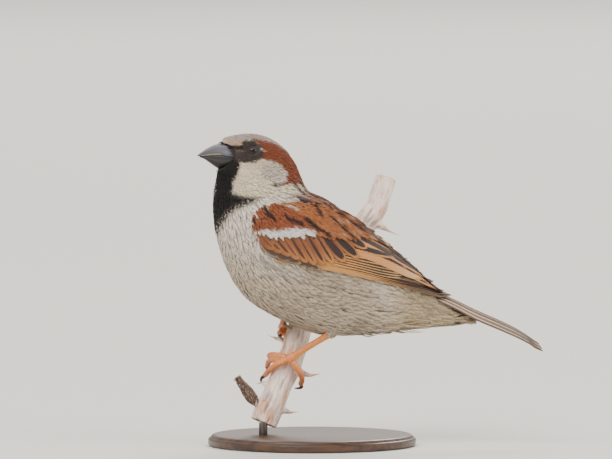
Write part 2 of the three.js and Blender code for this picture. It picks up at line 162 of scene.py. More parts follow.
def with_modifier(bm, kind, **settings):
    """The bmesh with one modifier applied."""
    mesh = mesh_of(bm, "work")
    work = new_object("work", mesh)
    modifier = work.modifiers.new("work", kind)
    for key, value in settings.items():
        setattr(modifier, key, value)
    made = bpy.data.meshes.new_from_object(work.evaluated_get(bpy.context.evaluated_depsgraph_get()))
    result = bmesh.new()
    result.from_mesh(made)
    bpy.data.objects.remove(work)
    bpy.data.meshes.remove(mesh)
    bpy.data.meshes.remove(made)
    return result


def swell(bm, amount):
    """Moves every point out along its normal, in millimetres."""
    for vert in bm.verts:
        vert.co += vert.normal * amount


def relax(bm, times):
    """Smooths a bmesh a number of times over."""
    for _ in range(times):
        bmesh.ops.smooth_vert(
            bm, verts=bm.verts, factor=0.5, use_axis_x=True, use_axis_y=True, use_axis_z=True
        )


def welded(bm, voxel, times):
    """The solids of a bmesh welded into one closed surface by a voxel remesh, and relaxed."""
    bm = with_modifier(bm, "REMESH", mode="VOXEL", voxel_size=voxel)
    relax(bm, times)
    bm.normal_update()
    return bm


def points_of(bm):
    """The places of a bmesh's points, as an array."""
    return np.array([v.co[:] for v in bm.verts])


def faces_of(bm):
    """The faces of a bmesh, as an array of the numbers of their points."""
    bm.verts.index_update()
    return np.array([[v.index for v in f.verts] for f in bm.faces])


def arrays_of(bm):
    """The points and faces of a bmesh, as arrays. The bmesh is freed."""
    arrays = points_of(bm), faces_of(bm)
    bm.free()
    return arrays


def nearest(tree, points):
    """The nearest point of a surface to each point, and the normals there."""
    found = [tree.find_nearest(Vector(p)) for p in points]
    return np.array([f[0][:] for f in found]), np.array([f[1][:] for f in found])


def unit(vectors):
    """The same directions with length 1."""
    return vectors / np.linalg.norm(vectors, axis=-1)[..., None]


def round_turns(count):
    """Angles spread evenly round a circle."""
    return np.linspace(0, 2 * math.pi, count, endpoint=False)


def blend(one, other, share):
    """A value between two others."""
    return one + (other - one) * share


class Nodes:
    """Short calls for building one material's node tree."""

    def __init__(self, name):
        self.material = bpy.data.materials.new(name)
        self.material.use_nodes = True
        self.tree = self.material.node_tree
        self.shader = self.tree.nodes["Principled BSDF"]

    def add(self, kind, _out=0, _set=None, **inputs):
        """Adds a node with its settings and inputs, and gives one of its outputs."""
        node = self.tree.nodes.new(kind)
        for key, value in (_set or {}).items():
            setattr(node, key, value)
        for key, value in inputs.items():
            index = int(key[1:]) if key[0] == "i" and key[1:].isdigit() else key.replace("_", " ")
            self.plug(node.inputs[index], value)
        return node.outputs[_out]

    def plug(self, socket, value):
        """Links an output to a socket, or sets the socket to a plain value."""
        if isinstance(value, bpy.types.NodeSocket):
            self.tree.links.new(value, socket)
        elif hasattr(value, "__len__") and len(value) == 3 and socket.type == "RGBA":
            socket.default_value = (*value, 1)
        else:
            socket.default_value = value

    def attribute(self, name):
        """The outputs that read a value stored at each point of the mesh."""
        node = self.tree.nodes.new("ShaderNodeAttribute")
        node.attribute_name = name
        return node.outputs

    def split(self, vector):
        """The x, y and z of a vector."""
        node = self.tree.nodes.new("ShaderNodeSeparateXYZ")
        self.tree.links.new(vector, node.inputs[0])
        return node.outputs

    def math(self, operation, a, b=0.0, c=0.0):
        return self.add("ShaderNodeMath", _set={"operation": operation}, i0=a, i1=b, i2=c)

    def plus(self, a, b):
        return self.math("ADD", a, b)

    def minus(self, a, b):
        return self.math("SUBTRACT", a, b)

    def times(self, a, b, plus=0.0):
        """The product of two values, with a third added to it."""
        return self.math("MULTIPLY_ADD", a, b, plus)

    def step(self, low, high, value):
        """0 below low and 1 above high, with a soft change between."""
        soft = {"interpolation_type": "SMOOTHSTEP"}
        return self.add("ShaderNodeMapRange", _set=soft, Value=value, From_Min=low, From_Max=high)

    def mix(self, factor, a, b, kind="MIX"):
        node = self.tree.nodes.new("ShaderNodeMix")
        node.data_type, node.blend_type = "RGBA", kind
        for index, value in ((0, factor), (6, a), (7, b)):
            self.plug(node.inputs[index], value)
        return node.outputs[2]

    def tinted(self, colour, tone):
        """A colour made lighter or darker by a number."""
        grey = self.add("ShaderNodeCombineColor", i0=tone, i1=tone, i2=tone)
        return self.mix(1.0, colour, grey, "MULTIPLY")

    def place(self, scale=None):
        """The place on the object, in metres, or stretched by a scale."""
        place = self.add("ShaderNodeTexCoord", _out=3)
        return place if scale is None else self.add("ShaderNodeMapping", Vector=place, Scale=scale)

    def noise(self, scale, detail=3.0, rough=0.5, vector=None):
        vector = vector if vector is not None else self.place()
        return self.add("ShaderNodeTexNoise", Vector=vector, Scale=scale, Detail=detail, Roughness=rough)

    def bump(self, height, distance, strength=1.0):
        normal = self.add("ShaderNodeBump", Strength=strength, Distance=distance, Height=height)
        self.tree.links.new(normal, self.shader.inputs["Normal"])

    def set(self, **inputs):
        """Sets the shader's own inputs, and gives the material."""
        for key, value in inputs.items():
            self.plug(self.shader.inputs[key.replace("_", " ")], value)
        return self.material


floor_nodes = Nodes("studio_paper")
floor_nodes.set(Base_Color=rgb(226, 226, 222), Roughness=0.9)
floor.data.materials.append(floor_nodes.material)

# %% [markdown]
# ## The skin
# Under its coat a bird is one smooth body. The solids for the head, neck, trunk and thighs are joined by a
# voxel remesh, which welds them into one closed shape with no seam, and relaxed. Each point then moves
# inwards by the depth of the feathers there: hardly at all on the face, more than a millimetre on the
# breast. The forehead, the gape and the edge of the feathers round the bill are set one by one, and the
# sockets are filled up to the eyeballs. Sculpting it afresh would work too, but might drift from the frame.

# %% Weld and shrink the body
FLESH = ("head", "neck", "trunk", "undertail", "left_thigh", "right_thigh")
FLESH_SWELL, SKIN_VOXEL, SKIN_RELAX = 0.25, 0.75, 8
BODY_DEPTH, HEAD_DEPTH, FACE_DEPTH = 1.25, 0.7, 0.3
EYE = Vector((-21.5, 4.85, 107.7))  # on the right side; the left one is mirrored
EYE_R = 2.35
# Where the feathers meet the bill.
FEATHER_EDGE_Z = (101.5, 103.2, 105.5, 108.0, 109.8, 110.4, 111.6, 112.9, 114.2)
FEATHER_EDGE_X = (-34.8, -31.6, -28.6, -30.6, -32.0, -33.1, -32.2, -30.6, -27.2)
BILL_BACK = -26.0  # everything that the feathers round the bill change lies in front of this
FOREHEAD, FOREHEAD_PUSH = Vector((-32.8, 0.0, 111.4)), Vector((-0.9, 0.0, 0.5))
GAPE, GAPE_END = Vector((-31.0, 0.0, 105.2)), -27.0


def smooth(low, high, value):
    """0 below low, 1 above high, and a soft S between, for numbers or arrays."""
    t = np.clip((np.asarray(value, float) - low) / (high - low), 0, 1)
    return t * t * (3 - 2 * t)


def coat_depth(points):
    """How deep the feathers are at each point of the body, in millimetres."""
    x, z = points[:, 0], points[:, 2]
    head = smooth(88, 96, z - 0.45 * (x + 20))
    face = smooth(10.5, 4.5, np.linalg.norm(points[:, [0, 2]] - np.array([-33.0, 107.5]), axis=1))
    depth = blend(blend(BODY_DEPTH, HEAD_DEPTH, head), FACE_DEPTH, face)
    return depth * (1 - 0.55 * smooth(44, 56, x))


def feather_edge(points):
    """How far forward the feathers reach at each height: further on the ridge of the bill than beside it."""
    tongue = smooth(3.0, 0.5, np.abs(points[:, 1])) * smooth(109.2, 110.0, points[:, 2])
    return np.interp(points[:, 2], FEATHER_EDGE_Z, FEATHER_EDGE_X) - 2.0 * tongue


flesh = cad_copy(*FLESH)
swell(flesh, FLESH_SWELL)
skin_bm = welded(flesh, SKIN_VOXEL, SKIN_RELAX)
for vert, depth in zip(skin_bm.verts, coat_depth(points_of(skin_bm))):
    vert.co -= vert.normal * float(depth + 0.15)
# The relaxing rounded off the forehead, so it is filled out again over the root of the bill.
for vert in skin_bm.verts:
    off = vert.co - FOREHEAD
    vert.co += FOREHEAD_PUSH * math.exp(-((off.x / 2.6) ** 2 + (off.y / 2.4) ** 2 + (off.z / 1.8) ** 2))
# The bill's sides show back to the gape, so the cheek is pressed in behind the cutting edge.
for vert in skin_bm.verts:
    near = vert.co - GAPE
    share = math.exp(-((near.x / 3.2) ** 2 + (near.z / 2.8) ** 2))
    if vert.co.x >= GAPE_END:
        share *= math.exp(-((vert.co.x - GAPE_END) / 1.2) ** 2)
    vert.co.y -= math.copysign(min(abs(vert.co.y), 1.5 * share), vert.co.y)
# The feathers end on a line from the ridge of the bill to the gape, and on another from there to the chin.
for vert, edge in zip(skin_bm.verts, feather_edge(points_of(skin_bm)).tolist()):
    if vert.co.x < BILL_BACK and vert.co.z > FEATHER_EDGE_Z[0]:
        if vert.co.x < edge + 1.0:
            vert.co.x = edge + 1.0 - (edge + 1.0 - vert.co.x) * 0.22
        near = float(smooth(3.4, 0.6, vert.co.x - edge))
        vert.co.y *= 1 - 0.10 * near
        vert.co.z -= 0.2 * near * float(smooth(108.5, 111.0, vert.co.z))
# The sockets are filled up to the eyeballs with the surface that their surroundings suggest.
skin_out = points_of(skin_bm)
off_x, off_z = skin_out[:, 0] - EYE.x, skin_out[:, 2] - EYE.z
eye_off = np.hypot(off_x, off_z)
terms = np.stack([np.ones_like(off_x), off_x, off_z, off_x**2, off_x * off_z, off_z**2], 1)
around_eye = (eye_off > 3.9) & (eye_off < 5.4) & (np.abs(skin_out[:, 1]) > 3)
surface_terms = np.linalg.lstsq(terms[around_eye], np.abs(skin_out[around_eye, 1]), rcond=None)[0]
for vert, share, wanted in zip(skin_bm.verts, smooth(4.2, 3.4, eye_off), terms @ surface_terms):
    if share > 0 and abs(vert.co.y) > 1.5:
        vert.co.y += math.copysign(share * (wanted - abs(vert.co.y)), vert.co.y)
relax(skin_bm, 2)
bmesh.ops.triangulate(skin_bm, faces=skin_bm.faces)
skin_bm.normal_update()
skin_tree = BVHTree.FromBMesh(skin_bm)
skin_points = points_of(skin_bm)
skin_faces = faces_of(skin_bm)
print("skin:", len(skin_points), "points", skin_points.min(0).round(1), skin_points.max(0).round(1))

# %% [markdown]
# ## Markings
# The coat and the skin under it carry one set of markings. `body_paint` gives a colour for any point of
# the body. It starts from the plain grey of the underparts and lays one patch over another, as a painter
# would: mantle, collar, cheek, bib, chestnut, crown, mask. A patch is an outline in the bird's side view
# with a soft edge. Painting an image by hand would be the usual way, but a rule can be asked at any point.

# %% Colours and patches
BREAST, BELLY, FLANK = rgb(250, 238, 226), rgb(212, 193, 168), rgb(192, 173, 149)
THROAT_SIDE, VENT = rgb(242, 232, 218), rgb(208, 186, 152)
RUST, RUMP = rgb(156, 96, 62), rgb(158, 142, 124)
CHEEK, CHEEK_REAR = rgb(252, 236, 208), rgb(206, 194, 182)
CHESTNUT, CROWN, BLACK = rgb(144, 76, 48), rgb(196, 178, 172), rgb(20, 17, 17)
MASK, BUFF, WHITE = rgb(72, 62, 60), rgb(226, 180, 126), rgb(246, 240, 232)
BACK_DARK, PALE_LORE, FRINGE = rgb(48, 41, 40), rgb(136, 112, 100), rgb(190, 180, 168)


def line_gap(places, start, end):
    """The distance in the side view from each place to a straight line that has two ends."""
    a, b = np.array(start, float), np.array(end, float)
    t = np.clip((places - a) @ (b - a) / max((b - a) @ (b - a), 1e-9), 0, 1)
    return np.linalg.norm(places - a - t[:, None] * (b - a), axis=1)


def side_distance(points, outline):
    """Signed distance in the side view from each point to a closed outline, negative inside it."""
    p = points[:, [0, 2]]
    best, inside = np.full(len(p), 1e9), np.zeros(len(p), bool)
    for a, b in zip(outline, outline[1:] + outline[:1]):
        best = np.minimum(best, line_gap(p, a, b))
        crosses = (a[1] > p[:, 1]) != (b[1] > p[:, 1])
        rise = b[1] - a[1] if b[1] != a[1] else 1e-9
        inside ^= crosses & (p[:, 0] < (b[0] - a[0]) * (p[:, 1] - a[1]) / rise + a[0])
    return np.where(inside, -best, best)


def patch(points, outline, soft=0.8):
    """1 inside a side view outline, 0 outside it, with an edge about soft millimetres wide."""
    return smooth(soft, -soft, side_distance(points, outline))


def stroke(points, start, end, width, soft=0.5):
    """A soft straight stroke in the side view."""
    return smooth(width + soft, width - soft, line_gap(points[:, [0, 2]], start, end))


CHEEK_OUTLINE = [
    (-26.2, 103.4), (-22.0, 103.7), (-17.2, 104.6), (-13.2, 103.4), (-10.6, 101.0), (-9.6, 97.4),
    (-11.4, 95.6), (-6.0, 95.6), (-1.0, 94.6), (-4.0, 92.6), (-12.0, 91.8), (-20.0, 91.2),
    (-25.2, 91.8), (-28.4, 93.8), (-27.6, 97.6), (-26.8, 101.0),
]
REAR_CHEEK = [(-18.0, 103.6), (-13.0, 103.6), (-10.2, 100.8), (-10.0, 97.4), (-13.5, 96.2), (-18.5, 98.8)]
BIB_OUTLINE = [
    (-36.0, 105.6), (-31.0, 106.2), (-27.4, 105.2), (-25.8, 103.4), (-27.0, 99.6), (-28.6, 96.4),
    (-28.8, 92.6), (-24.0, 91.5), (-19.4, 91.1), (-23.4, 89.2), (-27.2, 87.6), (-30.8, 84.8),
    (-33.2, 80.8), (-34.9, 75.4), (-40.0, 74.6), (-42.0, 90.0),
]
CHESTNUT_OUTLINE = [
    (-23.4, 112.6), (-21.0, 114.2), (-12.0, 113.8), (-6.0, 108.4), (-2.2, 101.4), (-1.6, 96.0),
    (-4.6, 95.6), (-10.2, 95.8), (-13.4, 96.0), (-9.8, 97.2), (-10.0, 100.8), (-12.2, 103.2),
    (-15.6, 104.4), (-18.6, 105.2), (-18.2, 108.0), (-19.6, 110.6),
]
MASK_OUTLINE = [
    (-37.0, 110.3), (-28.0, 109.6), (-24.6, 111.6), (-20.6, 111.4), (-17.9, 109.0), (-17.6, 105.6),
    (-20.4, 103.8), (-25.6, 103.6), (-28.6, 104.6), (-31.5, 107.0),
]
MANTLE_OUTLINE = [
    (-12.0, 91.0), (-8.0, 97.0), (0.0, 99.0), (8.0, 97.0), (30.0, 84.0), (38.0, 66.0), (26.0, 66.0),
    (-12.0, 84.0),
]
RUMP_OUTLINE = [(26.0, 90.0), (33.0, 66.0), (38.0, 60.0), (47.0, 53.8), (58.0, 48.4), (70.0, 60.0)]
# Strokes have a start, an end and a half width.
LORE = ((-36.0, 110.1), (-25.4, 108.8), 0.6)
LORE_LIGHT = ((-26.6, 108.0), (-25.0, 107.8), 0.5)
BUFF_SPOTS = (((-28.8, 110.6), (-25.8, 110.5), 0.45), ((-32.8, 110.9), (-30.4, 111.0), 0.4))
WHITE_SPOTS = (((-18.5, 108.7), (-18.2, 108.5), 0.22), ((-17.4, 108.0), (-17.1, 107.8), 0.2))
CRESCENT = (((-9.6, 99.9), (-10.2, 97.6), 0.5), ((-10.2, 97.6), (-12.4, 96.4), 0.5))
NOTCH = ((-14.2, 96.0), (-10.6, 95.6), 0.36)
CHIN_TUFT = ((-35.0, 93.2), (-35.6, 91.0), 0.25)


def soft_noise(points, size, seed):
    """Smooth random values from about -1 to 1 that change over that many millimetres."""
    spot = Vector((seed * 7.3, seed * 3.1, seed * 5.7))
    return np.array([noise.noise(Vector(p) / size + spot) for p in points]) * 1.6


def lay(colour, over, share):
    """Paints one colour over others by a share from 0 to 1."""
    return colour + (np.asarray(over) - colour) * np.clip(share, 0, 1)[:, None]


def body_paint(points):
    """The plumage colour at each point of the body, in linear numbers."""
    x, y, z = points.T
    across = np.abs(y)
    rough = soft_noise(points, 5.0, 1)
    colour = np.tile(BREAST, (len(points), 1))
    colour = lay(colour, BELLY, smooth(74, 52, z + 0.25 * x) * 0.9)
    colour = lay(colour, FLANK, smooth(9, 17, across) * smooth(-16, 6, x) * 0.9 + 0.25 * rough)
    colour = lay(colour, FLANK, smooth(4, 14, x) * smooth(34, 22, x) * smooth(52, 44, z) * 0.55)
    colour = lay(colour, VENT, smooth(24, 36, x))
    streaky = soft_noise(points * [0.35, 1.0, 1.1], 2.6, 4)
    colour = lay(colour, colour * 0.72, smooth(0.1, 0.9, streaky) * smooth(-30, -14, x) * 0.8)
    colour = lay(colour, RUST, patch(points, MANTLE_OUTLINE, 1.5))
    colour = lay(colour, RUMP, patch(points, RUMP_OUTLINE, 1.5))
    colour = lay(colour, THROAT_SIDE, smooth(86, 91, z) * smooth(-33, -28, x) * smooth(0, -10, x))
    collar_across = across - 6 * smooth(-10, -13, x) + 6 * smooth(96, 92, z) * smooth(-8, -2, x)
    cheek_side = np.maximum(smooth(5.0, 7.5, collar_across), smooth(96.5, 98, z) + smooth(-11, -14, x))
    colour = lay(colour, CHEEK, patch(points, CHEEK_OUTLINE, 0.6) * cheek_side)
    colour = lay(colour, CHEEK_REAR, patch(points, REAR_CHEEK, 1.2) * 0.85)
    bib_side = smooth(16.5, 12.5, across - smooth(96, 88, z) * 2)
    colour = lay(colour, BLACK, patch(points, BIB_OUTLINE, 0.7) * bib_side)
    colour = lay(colour, CHESTNUT, patch(points, CHESTNUT_OUTLINE, 0.5))
    crown_half = 7.5 - 3.9 * smooth(-27.5, -23, x) - 1.2 * smooth(-18, -12, x)
    crown = smooth(crown_half + 0.5, crown_half - 0.5, across) * smooth(-8, -13, x)
    crown_height = z + 8 * smooth(-26, -16, x) + 0.6 * smooth(-30, -33, x)
    colour = lay(colour, CROWN, crown * smooth(109.4, 110.4, crown_height))
    colour = lay(colour, MASK, patch(points, MASK_OUTLINE, 0.5))
    colour = lay(colour, BLACK, stroke(points, *LORE, 0.3))
    colour = lay(colour, PALE_LORE, stroke(points, *LORE_LIGHT) * 0.5)
    on_side = smooth(5, 7, across)
    for spot in BUFF_SPOTS:
        colour = lay(colour, BUFF, stroke(points, *spot, 0.3) * smooth(1.4, 2.4, across))
    for spot in WHITE_SPOTS:
        colour = lay(colour, WHITE, stroke(points, *spot, 0.25))
    for part in CRESCENT:
        colour = lay(colour, WHITE, stroke(points, *part, 0.35) * on_side)
    colour = lay(colour, MASK, stroke(points, *NOTCH, 0.4) * on_side)
    chin_left = smooth(1.6, 2.2, -y) * smooth(4.2, 3.4, -y)
    colour = lay(colour, WHITE, stroke(points, *CHIN_TUFT, 0.3) * chin_left * 0.7)
    return np.clip(colour * (1 + 0.07 * rough[:, None]), 0.003, 0.96)


print("belly colour:", body_paint(np.array([[0.0, 0.0, 46.0]])).round(3))

# %% [markdown]
# ## The lie of the coat
# Feathers point away from the bill and follow the body, so a field of directions comes first. A few guide
# directions are given where the lie changes, at the crown, cheek, throat, breast, belly, back and
# thigh. Between them each point blends its nearest guides and drops the part that leaves the surface.

# %% Guides and directions
GUIDES = [  # a place on the right half of the body, and the way its feathers point
    ((-32, 0, 112), (0.8, 0, 0.5)), ((-22, 0, 114), (1, 0, 0.05)), ((-11, 0, 110), (0.8, 0, -0.6)),
    ((-4, 0, 101), (0.4, 0, -0.9)), ((-30, 4, 109), (1, 0.25, 0.1)),
    ((-21.5, 6.5, 111.4), (1, 0.1, 0.1)), ((-15, 8, 107), (0.95, 0.1, -0.3)),
    ((-8, 9, 103), (0.75, 0, -0.65)), ((-20, 8, 101), (0.85, 0.1, -0.5)),
    ((-12, 10, 98), (0.95, 0, -0.3)), ((-27, 6, 104), (0.75, 0.2, -0.55)),
    ((-26, 7, 97), (0.7, 0.1, -0.7)), ((-30, 4.5, 99), (0.3, 0.1, -0.95)), ((-34, 0, 99), (0.1, 0, -1)),
    ((-36, 0, 91), (0, 0, -1)), ((-36, 0, 83), (0.08, 0, -1)), ((-18, 12, 92), (0.85, 0.1, -0.5)),
    ((-6, 11, 95), (0.9, 0, -0.4)), ((-28, 10, 86), (0.35, 0.1, -0.9)), ((-34, 0, 73), (0.3, 0, -0.95)),
    ((-24, 14, 78), (0.4, 0.1, -0.9)), ((-28, 0, 60), (0.7, 0, -0.7)), ((-14, 17, 66), (0.8, 0, -0.6)),
    ((-14, 0, 48), (0.93, 0, -0.35)), ((6, 17, 57), (0.96, 0, -0.25)), ((2, 0, 41), (1, 0, 0)),
    ((24, 14, 50), (0.98, -0.15, -0.12)), ((26, 0, 41), (1, 0, 0.08)), ((46, 0, 43.6), (1, 0, 0.05)),
    ((-2, 0, 93), (0.75, 0, -0.65)), ((14, 0, 83), (0.8, 0, -0.6)), ((34, 0, 65), (0.8, 0, -0.6)),
    ((48, 0, 54.6), (0.9, 0, -0.42)), ((13, 8, 45), (0.8, 0, -0.5)),
]


def lie(points, normals):
    """The unit direction in which the feathers lie at each point of the surface."""
    mirrored = points.copy()
    flip = np.where(points[:, 1] < 0, -1.0, 1.0)
    mirrored[:, 1] *= flip
    total = np.zeros_like(points)
    for place, way in GUIDES:
        gap = ((mirrored - np.array(place)) ** 2).sum(1)
        total += np.array(way) / np.linalg.norm(way) / ((gap + 6.0) ** 2)[:, None]
    total[:, 1] *= flip
    total -= normals * (total * normals).sum(1)[:, None]
    return unit(total)


# %% Unwrap of the body: how far along it, and how far round
AXIS = np.array([(-34, 106), (-22, 103), (-12, 91), (-4, 74), (10, 61), (34, 52), (60, 46)], float)
AXIS_AT = np.concatenate([[0], np.cumsum(np.linalg.norm(np.diff(AXIS, axis=0), axis=1))])
PATCH = 0.003


def unwrap(points):
    """A place from 0 to 1 on the body's own unwrap for each point: round the body, and along its axis."""
    p = points[:, [0, 2]]
    best, along, above = np.full(len(p), 1e9), np.zeros(len(p)), np.zeros(len(p))
    for (a, b), start in zip(zip(AXIS, AXIS[1:]), AXIS_AT):
        length = np.linalg.norm(b - a)
        way = (b - a) / length
        t = np.clip((p - a) @ way, 0, length)
        off = p - a - t[:, None] * way
        gap = np.linalg.norm(off, axis=1)
        side = off @ np.array([-way[1], way[0]])
        closer = gap < best
        best = np.where(closer, gap, best)
        along, above = np.where(closer, start + t, along), np.where(closer, side, above)
    turn = np.arctan2(points[:, 1], above) / (2 * math.pi) + 0.5
    return np.stack([0.01 + 0.97 * turn, 0.01 + 0.97 * along / AXIS_AT[-1]], 1)

# %% [markdown]
# ## One finish for every feather
# A feather is painted by where a point lies on it: across the vane and along it. Each feather carries two
# colours, one for its edge and one for its dark centre, and two numbers for how wide the centre is and how
# far it reaches. One material can then paint a plain grey breast feather or a black and rust scapular.
# Painting every feather by itself would give the same look and be far slower.


# %% The plumage materials
# The second colour is the grey of the down, and it also serves as painted shade between the feathers.
SHAFT_BROWN, DOWN_GREY_AND_SHADE = (0.03, 0.022, 0.018), (0.20, 0.18, 0.16)


def feather_material(name, roughness, barb_gap, barb_depth, ragged_edge):
    """The finish of a feather piece. barb_gap and barb_depth are the barbs' spacing and relief in mm."""
    n = Nodes(name)
    edge, core = n.attribute("edge"), n.attribute("core")
    across, along, _ = n.split(n.add("ShaderNodeUVMap", _set={"uv_map": "vane"}))
    off = n.math("ABSOLUTE", n.times(across, 2.0, plus=-1.0))
    grain = n.noise(2600.0, 3.0)
    ragged = n.times(grain, ragged_edge, plus=-0.5 * ragged_edge)
    # The dark centre widens from the root and closes in a round end.
    half = n.times(core["Alpha"], n.times(along, 0.55, plus=0.45))
    closing = n.math("MAXIMUM", n.times(n.minus(n.plus(along, 0.24), edge["Alpha"]), 4.0), 0.0)
    rounded = n.math("SQRT", n.math("MAXIMUM", n.minus(1.0, n.times(closing, closing)), 0.0))
    inside = n.step(0.10, -0.10, n.minus(n.plus(off, ragged), n.times(half, rounded)))
    reach = n.step(0.06, -0.06, n.minus(n.plus(along, n.times(ragged, 0.5)), edge["Alpha"]))
    share = n.times(n.times(inside, reach), n.step(0.0, 0.08, core["Alpha"]))
    colour = n.mix(share, edge["Color"], core["Color"])
    shaft = n.times(n.step(0.05, 0.02, off), 0.25)
    colour = n.mix(shaft, colour, n.mix(0.6, colour, SHAFT_BROWN))
    # The barbs slant from the shaft to the edge, and wobble a little.
    out, forward, _ = n.split(n.add("ShaderNodeUVMap", _set={"uv_map": "barbs"}))
    phase = n.minus(forward, n.math("ABSOLUTE", out))
    wave = n.math("SINE", n.plus(n.times(phase, 2 * math.pi / barb_gap), n.times(grain, 1.5)))
    n.bump(n.plus(n.times(wave, 0.6), n.times(grain, 0.5)), barb_depth * MM, 0.6)
    return n.set(
        Base_Color=n.tinted(colour, n.times(wave, 0.07, plus=n.times(grain, 0.34, plus=0.80))),
        Roughness=roughness, Specular_IOR_Level=0.28, Sheen_Weight=0.05, Sheen_Roughness=0.5,
    )


soft_plumage = feather_material("soft_plumage", 0.78, 0.24, 0.03, ragged_edge=0.22)
vane_plumage = feather_material("vane_plumage", 0.66, 0.30, 0.06, ragged_edge=0.34)


def ground_material():
    """The skin between the feathers: the coat's own colour, dulled a little by grey down and painted shade.
    """
    n = Nodes("plumage_ground")
    down = n.noise(900.0, 4.0)
    n.bump(down, 0.15 * MM)
    # Patches of grey are mixed in for the down and for painted shade between the feathers.
    colour = n.mix(n.times(down, 0.15), n.attribute("edge")["Color"], DOWN_GREY_AND_SHADE)
    return n.set(Base_Color=colour, Roughness=0.95)


plumage_ground = ground_material()

# %% [markdown]
# ## The shape of a body feather
# A contour feather is a slim, closed vane whose sides and tip split into barbs. The pattern feather is made
# once with bmesh: a ring that is extruded into a flat, tapering vane, and small three-sided cones for the
# barbs. A few patterns with different barbs are enough, as each copy gets its own size, bend and turn.
# Hair particles would be quicker, but they aren't solid and would be lost on export.

# %% Pattern feathers
VANE_THICK = 0.055


def pattern_feather(seed, barbs, rings, vane_width):
    """A feather 1 wide and 1 long, and its points' heights in millimetres, as arrays of points and faces."""
    rng = random.Random(seed)
    outline = [(0.0, 0.10), (0.25, 0.62), (0.55, 1.0), (0.82, 0.80), (1.0, 0.22)][-rings:]
    bm = bmesh.new()
    bmesh.ops.create_circle(bm, segments=4, radius=1.0, cap_ends=True)
    face = next(iter(bm.faces))
    along, share = outline[0]
    for vert in face.verts:
        vert.co = (vert.co.x * vane_width / 2 * share, along, vert.co.y * VANE_THICK / 2)
    for next_along, next_share in outline[1:]:
        made = bmesh.ops.extrude_face_region(bm, geom=[face])["geom"]
        face = next(g for g in made if isinstance(g, bmesh.types.BMFace))
        for vert in face.verts:
            vert.co.x *= next_share / share
            vert.co.y = next_along
        share = next_share
    for barb in range(barbs):
        side = -1 if barb % 2 else 1
        start = 0.28 + 0.64 * (barb // 2 + rng.uniform(0.2, 0.8)) / (barbs / 2)
        width_here = np.interp(start, *zip(*outline)) * vane_width / 2
        spread = rng.uniform(0.6, 1.0) * (1.12 - 0.75 * start)
        root = Vector((side * width_here * 0.35, start - 0.10, 0))
        tip = Vector((side * (width_here + 0.20 * spread), start + rng.uniform(0.16, 0.32), 0))
        lift = rng.uniform(-0.02, 0.05)
        square = Vector((root.y - tip.y, tip.x - root.x, 0)).normalized()
        cone = bmesh.ops.create_cone(
            bm, cap_ends=True, segments=3, radius1=0.065, radius2=0.0, depth=1.0,
            matrix=Matrix.Translation((0, 0, 0.5)),
        )["verts"]
        for vert in cone:
            out, up, far = vert.co
            vert.co = root.lerp(tip, far) + square * out
            vert.co.z = lift * far + up * 0.4
    bmesh.ops.recalc_face_normals(bm, faces=bm.faces)
    bmesh.ops.triangulate(bm, faces=bm.faces)
    return arrays_of(bm)


BODY_PATTERNS = [pattern_feather(seed, barbs=10, rings=4, vane_width=0.56) for seed in range(5)]
FACE_PATTERNS = [pattern_feather(seed, barbs=4, rings=5, vane_width=0.6) for seed in range(20, 24)]
HEAD_PATTERNS = [pattern_feather(seed, barbs=7, rings=3, vane_width=0.5) for seed in range(10, 15)]
print("body feather:", len(BODY_PATTERNS[0][1]), "triangles; head feather:", len(HEAD_PATTERNS[0][1]))

# %% [markdown]
# ## Planting the body coat
# Roots are dropped at random on the skin and kept where no other root is too near, which spaces them as
# evenly as pores. The spacing, the length and the width follow the region: the face has the smallest
# feathers, the flank and vent the longest and loosest. Each feather is bent by two looks down at the skin,
# half way along and at its tip, so that it hugs the body instead of sticking out over a curve.


# %% Roots on the skin
NEIGHBOURS = list(itertools.product((-1, 0, 1), repeat=3))


def scatter(surface, faces, spacing, seed, count):
    """Points on a surface, at least spacing(points) apart, with their normals."""
    rng = np.random.default_rng(seed)
    corners = surface[faces]
    one, two = corners[:, 1] - corners[:, 0], corners[:, 2] - corners[:, 0]
    cross = np.cross(one, two)
    area = np.linalg.norm(cross, axis=1)
    pick = rng.choice(len(area), count, p=area / area.sum())
    u, v = rng.random((2, count))
    u, v = np.where(u + v > 1, 1 - u, u), np.where(u + v > 1, 1 - v, v)
    points = corners[pick, 0] + u[:, None] * one[pick] + v[:, None] * two[pick]
    normals = cross[pick] / area[pick][:, None]
    gaps = spacing(points)
    keys = np.floor(points / float(gaps.max())).astype(int).tolist()
    taken, kept = {}, []
    for index in np.flatnonzero(gaps > 0):
        x, y, z = keys[index]
        point, gap = points[index], gaps[index] ** 2
        close = (d for a, b, c in NEIGHBOURS for d in taken.get((x + a, y + b, z + c), ()))
        if all((d - point) @ (d - point) >= gap for d in close):
            taken.setdefault((x, y, z), []).append(point)
            kept.append(index)
    return points[kept], normals[kept]


EYE_CLEAR = 2.3  # no feather root is nearer the middle of the eye than this


def on_head(points):
    """1 on the head and 0 on the rest of the body."""
    return smooth(86, 96, points[:, 2] - 0.45 * (points[:, 0] + 20))


def bill_gap(points):
    """How far each point is from the middle of the bill's base, in the side view."""
    return np.linalg.norm(points[:, [0, 2]] - np.array([-34.0, 106.4]), axis=1)


def eye_gap(points):
    """How far each point is from the middle of the nearer eye."""
    x, y, z = points.T
    return np.linalg.norm(np.stack([x - EYE.x, np.abs(y) - EYE.y, z - EYE.z], 1), axis=1)


def root_spacing(points):
    """How far apart the roots are at each point, and 0 where no feather grows."""
    x, y, z = points.T
    gap = 0.94 - 0.40 * on_head(points) - 0.12 * smooth(11, 5, bill_gap(points)) + 0.20 * smooth(10, 30, x)
    eye = eye_gap(points)
    gap = np.where(eye < 6, np.minimum(gap, 0.42), gap)
    gap = np.where(eye < EYE_CLEAR, 0, gap)
    tucked = 3.0 - 2.4 * smooth(83, 86, z) * smooth(-3, -8, x)  # the coat reaches this far under the wing
    under_wing = (side_distance(points, WING_BED_OUTLINE) < -tucked) & (np.abs(y) > 6)
    return np.where(under_wing, 0, gap)


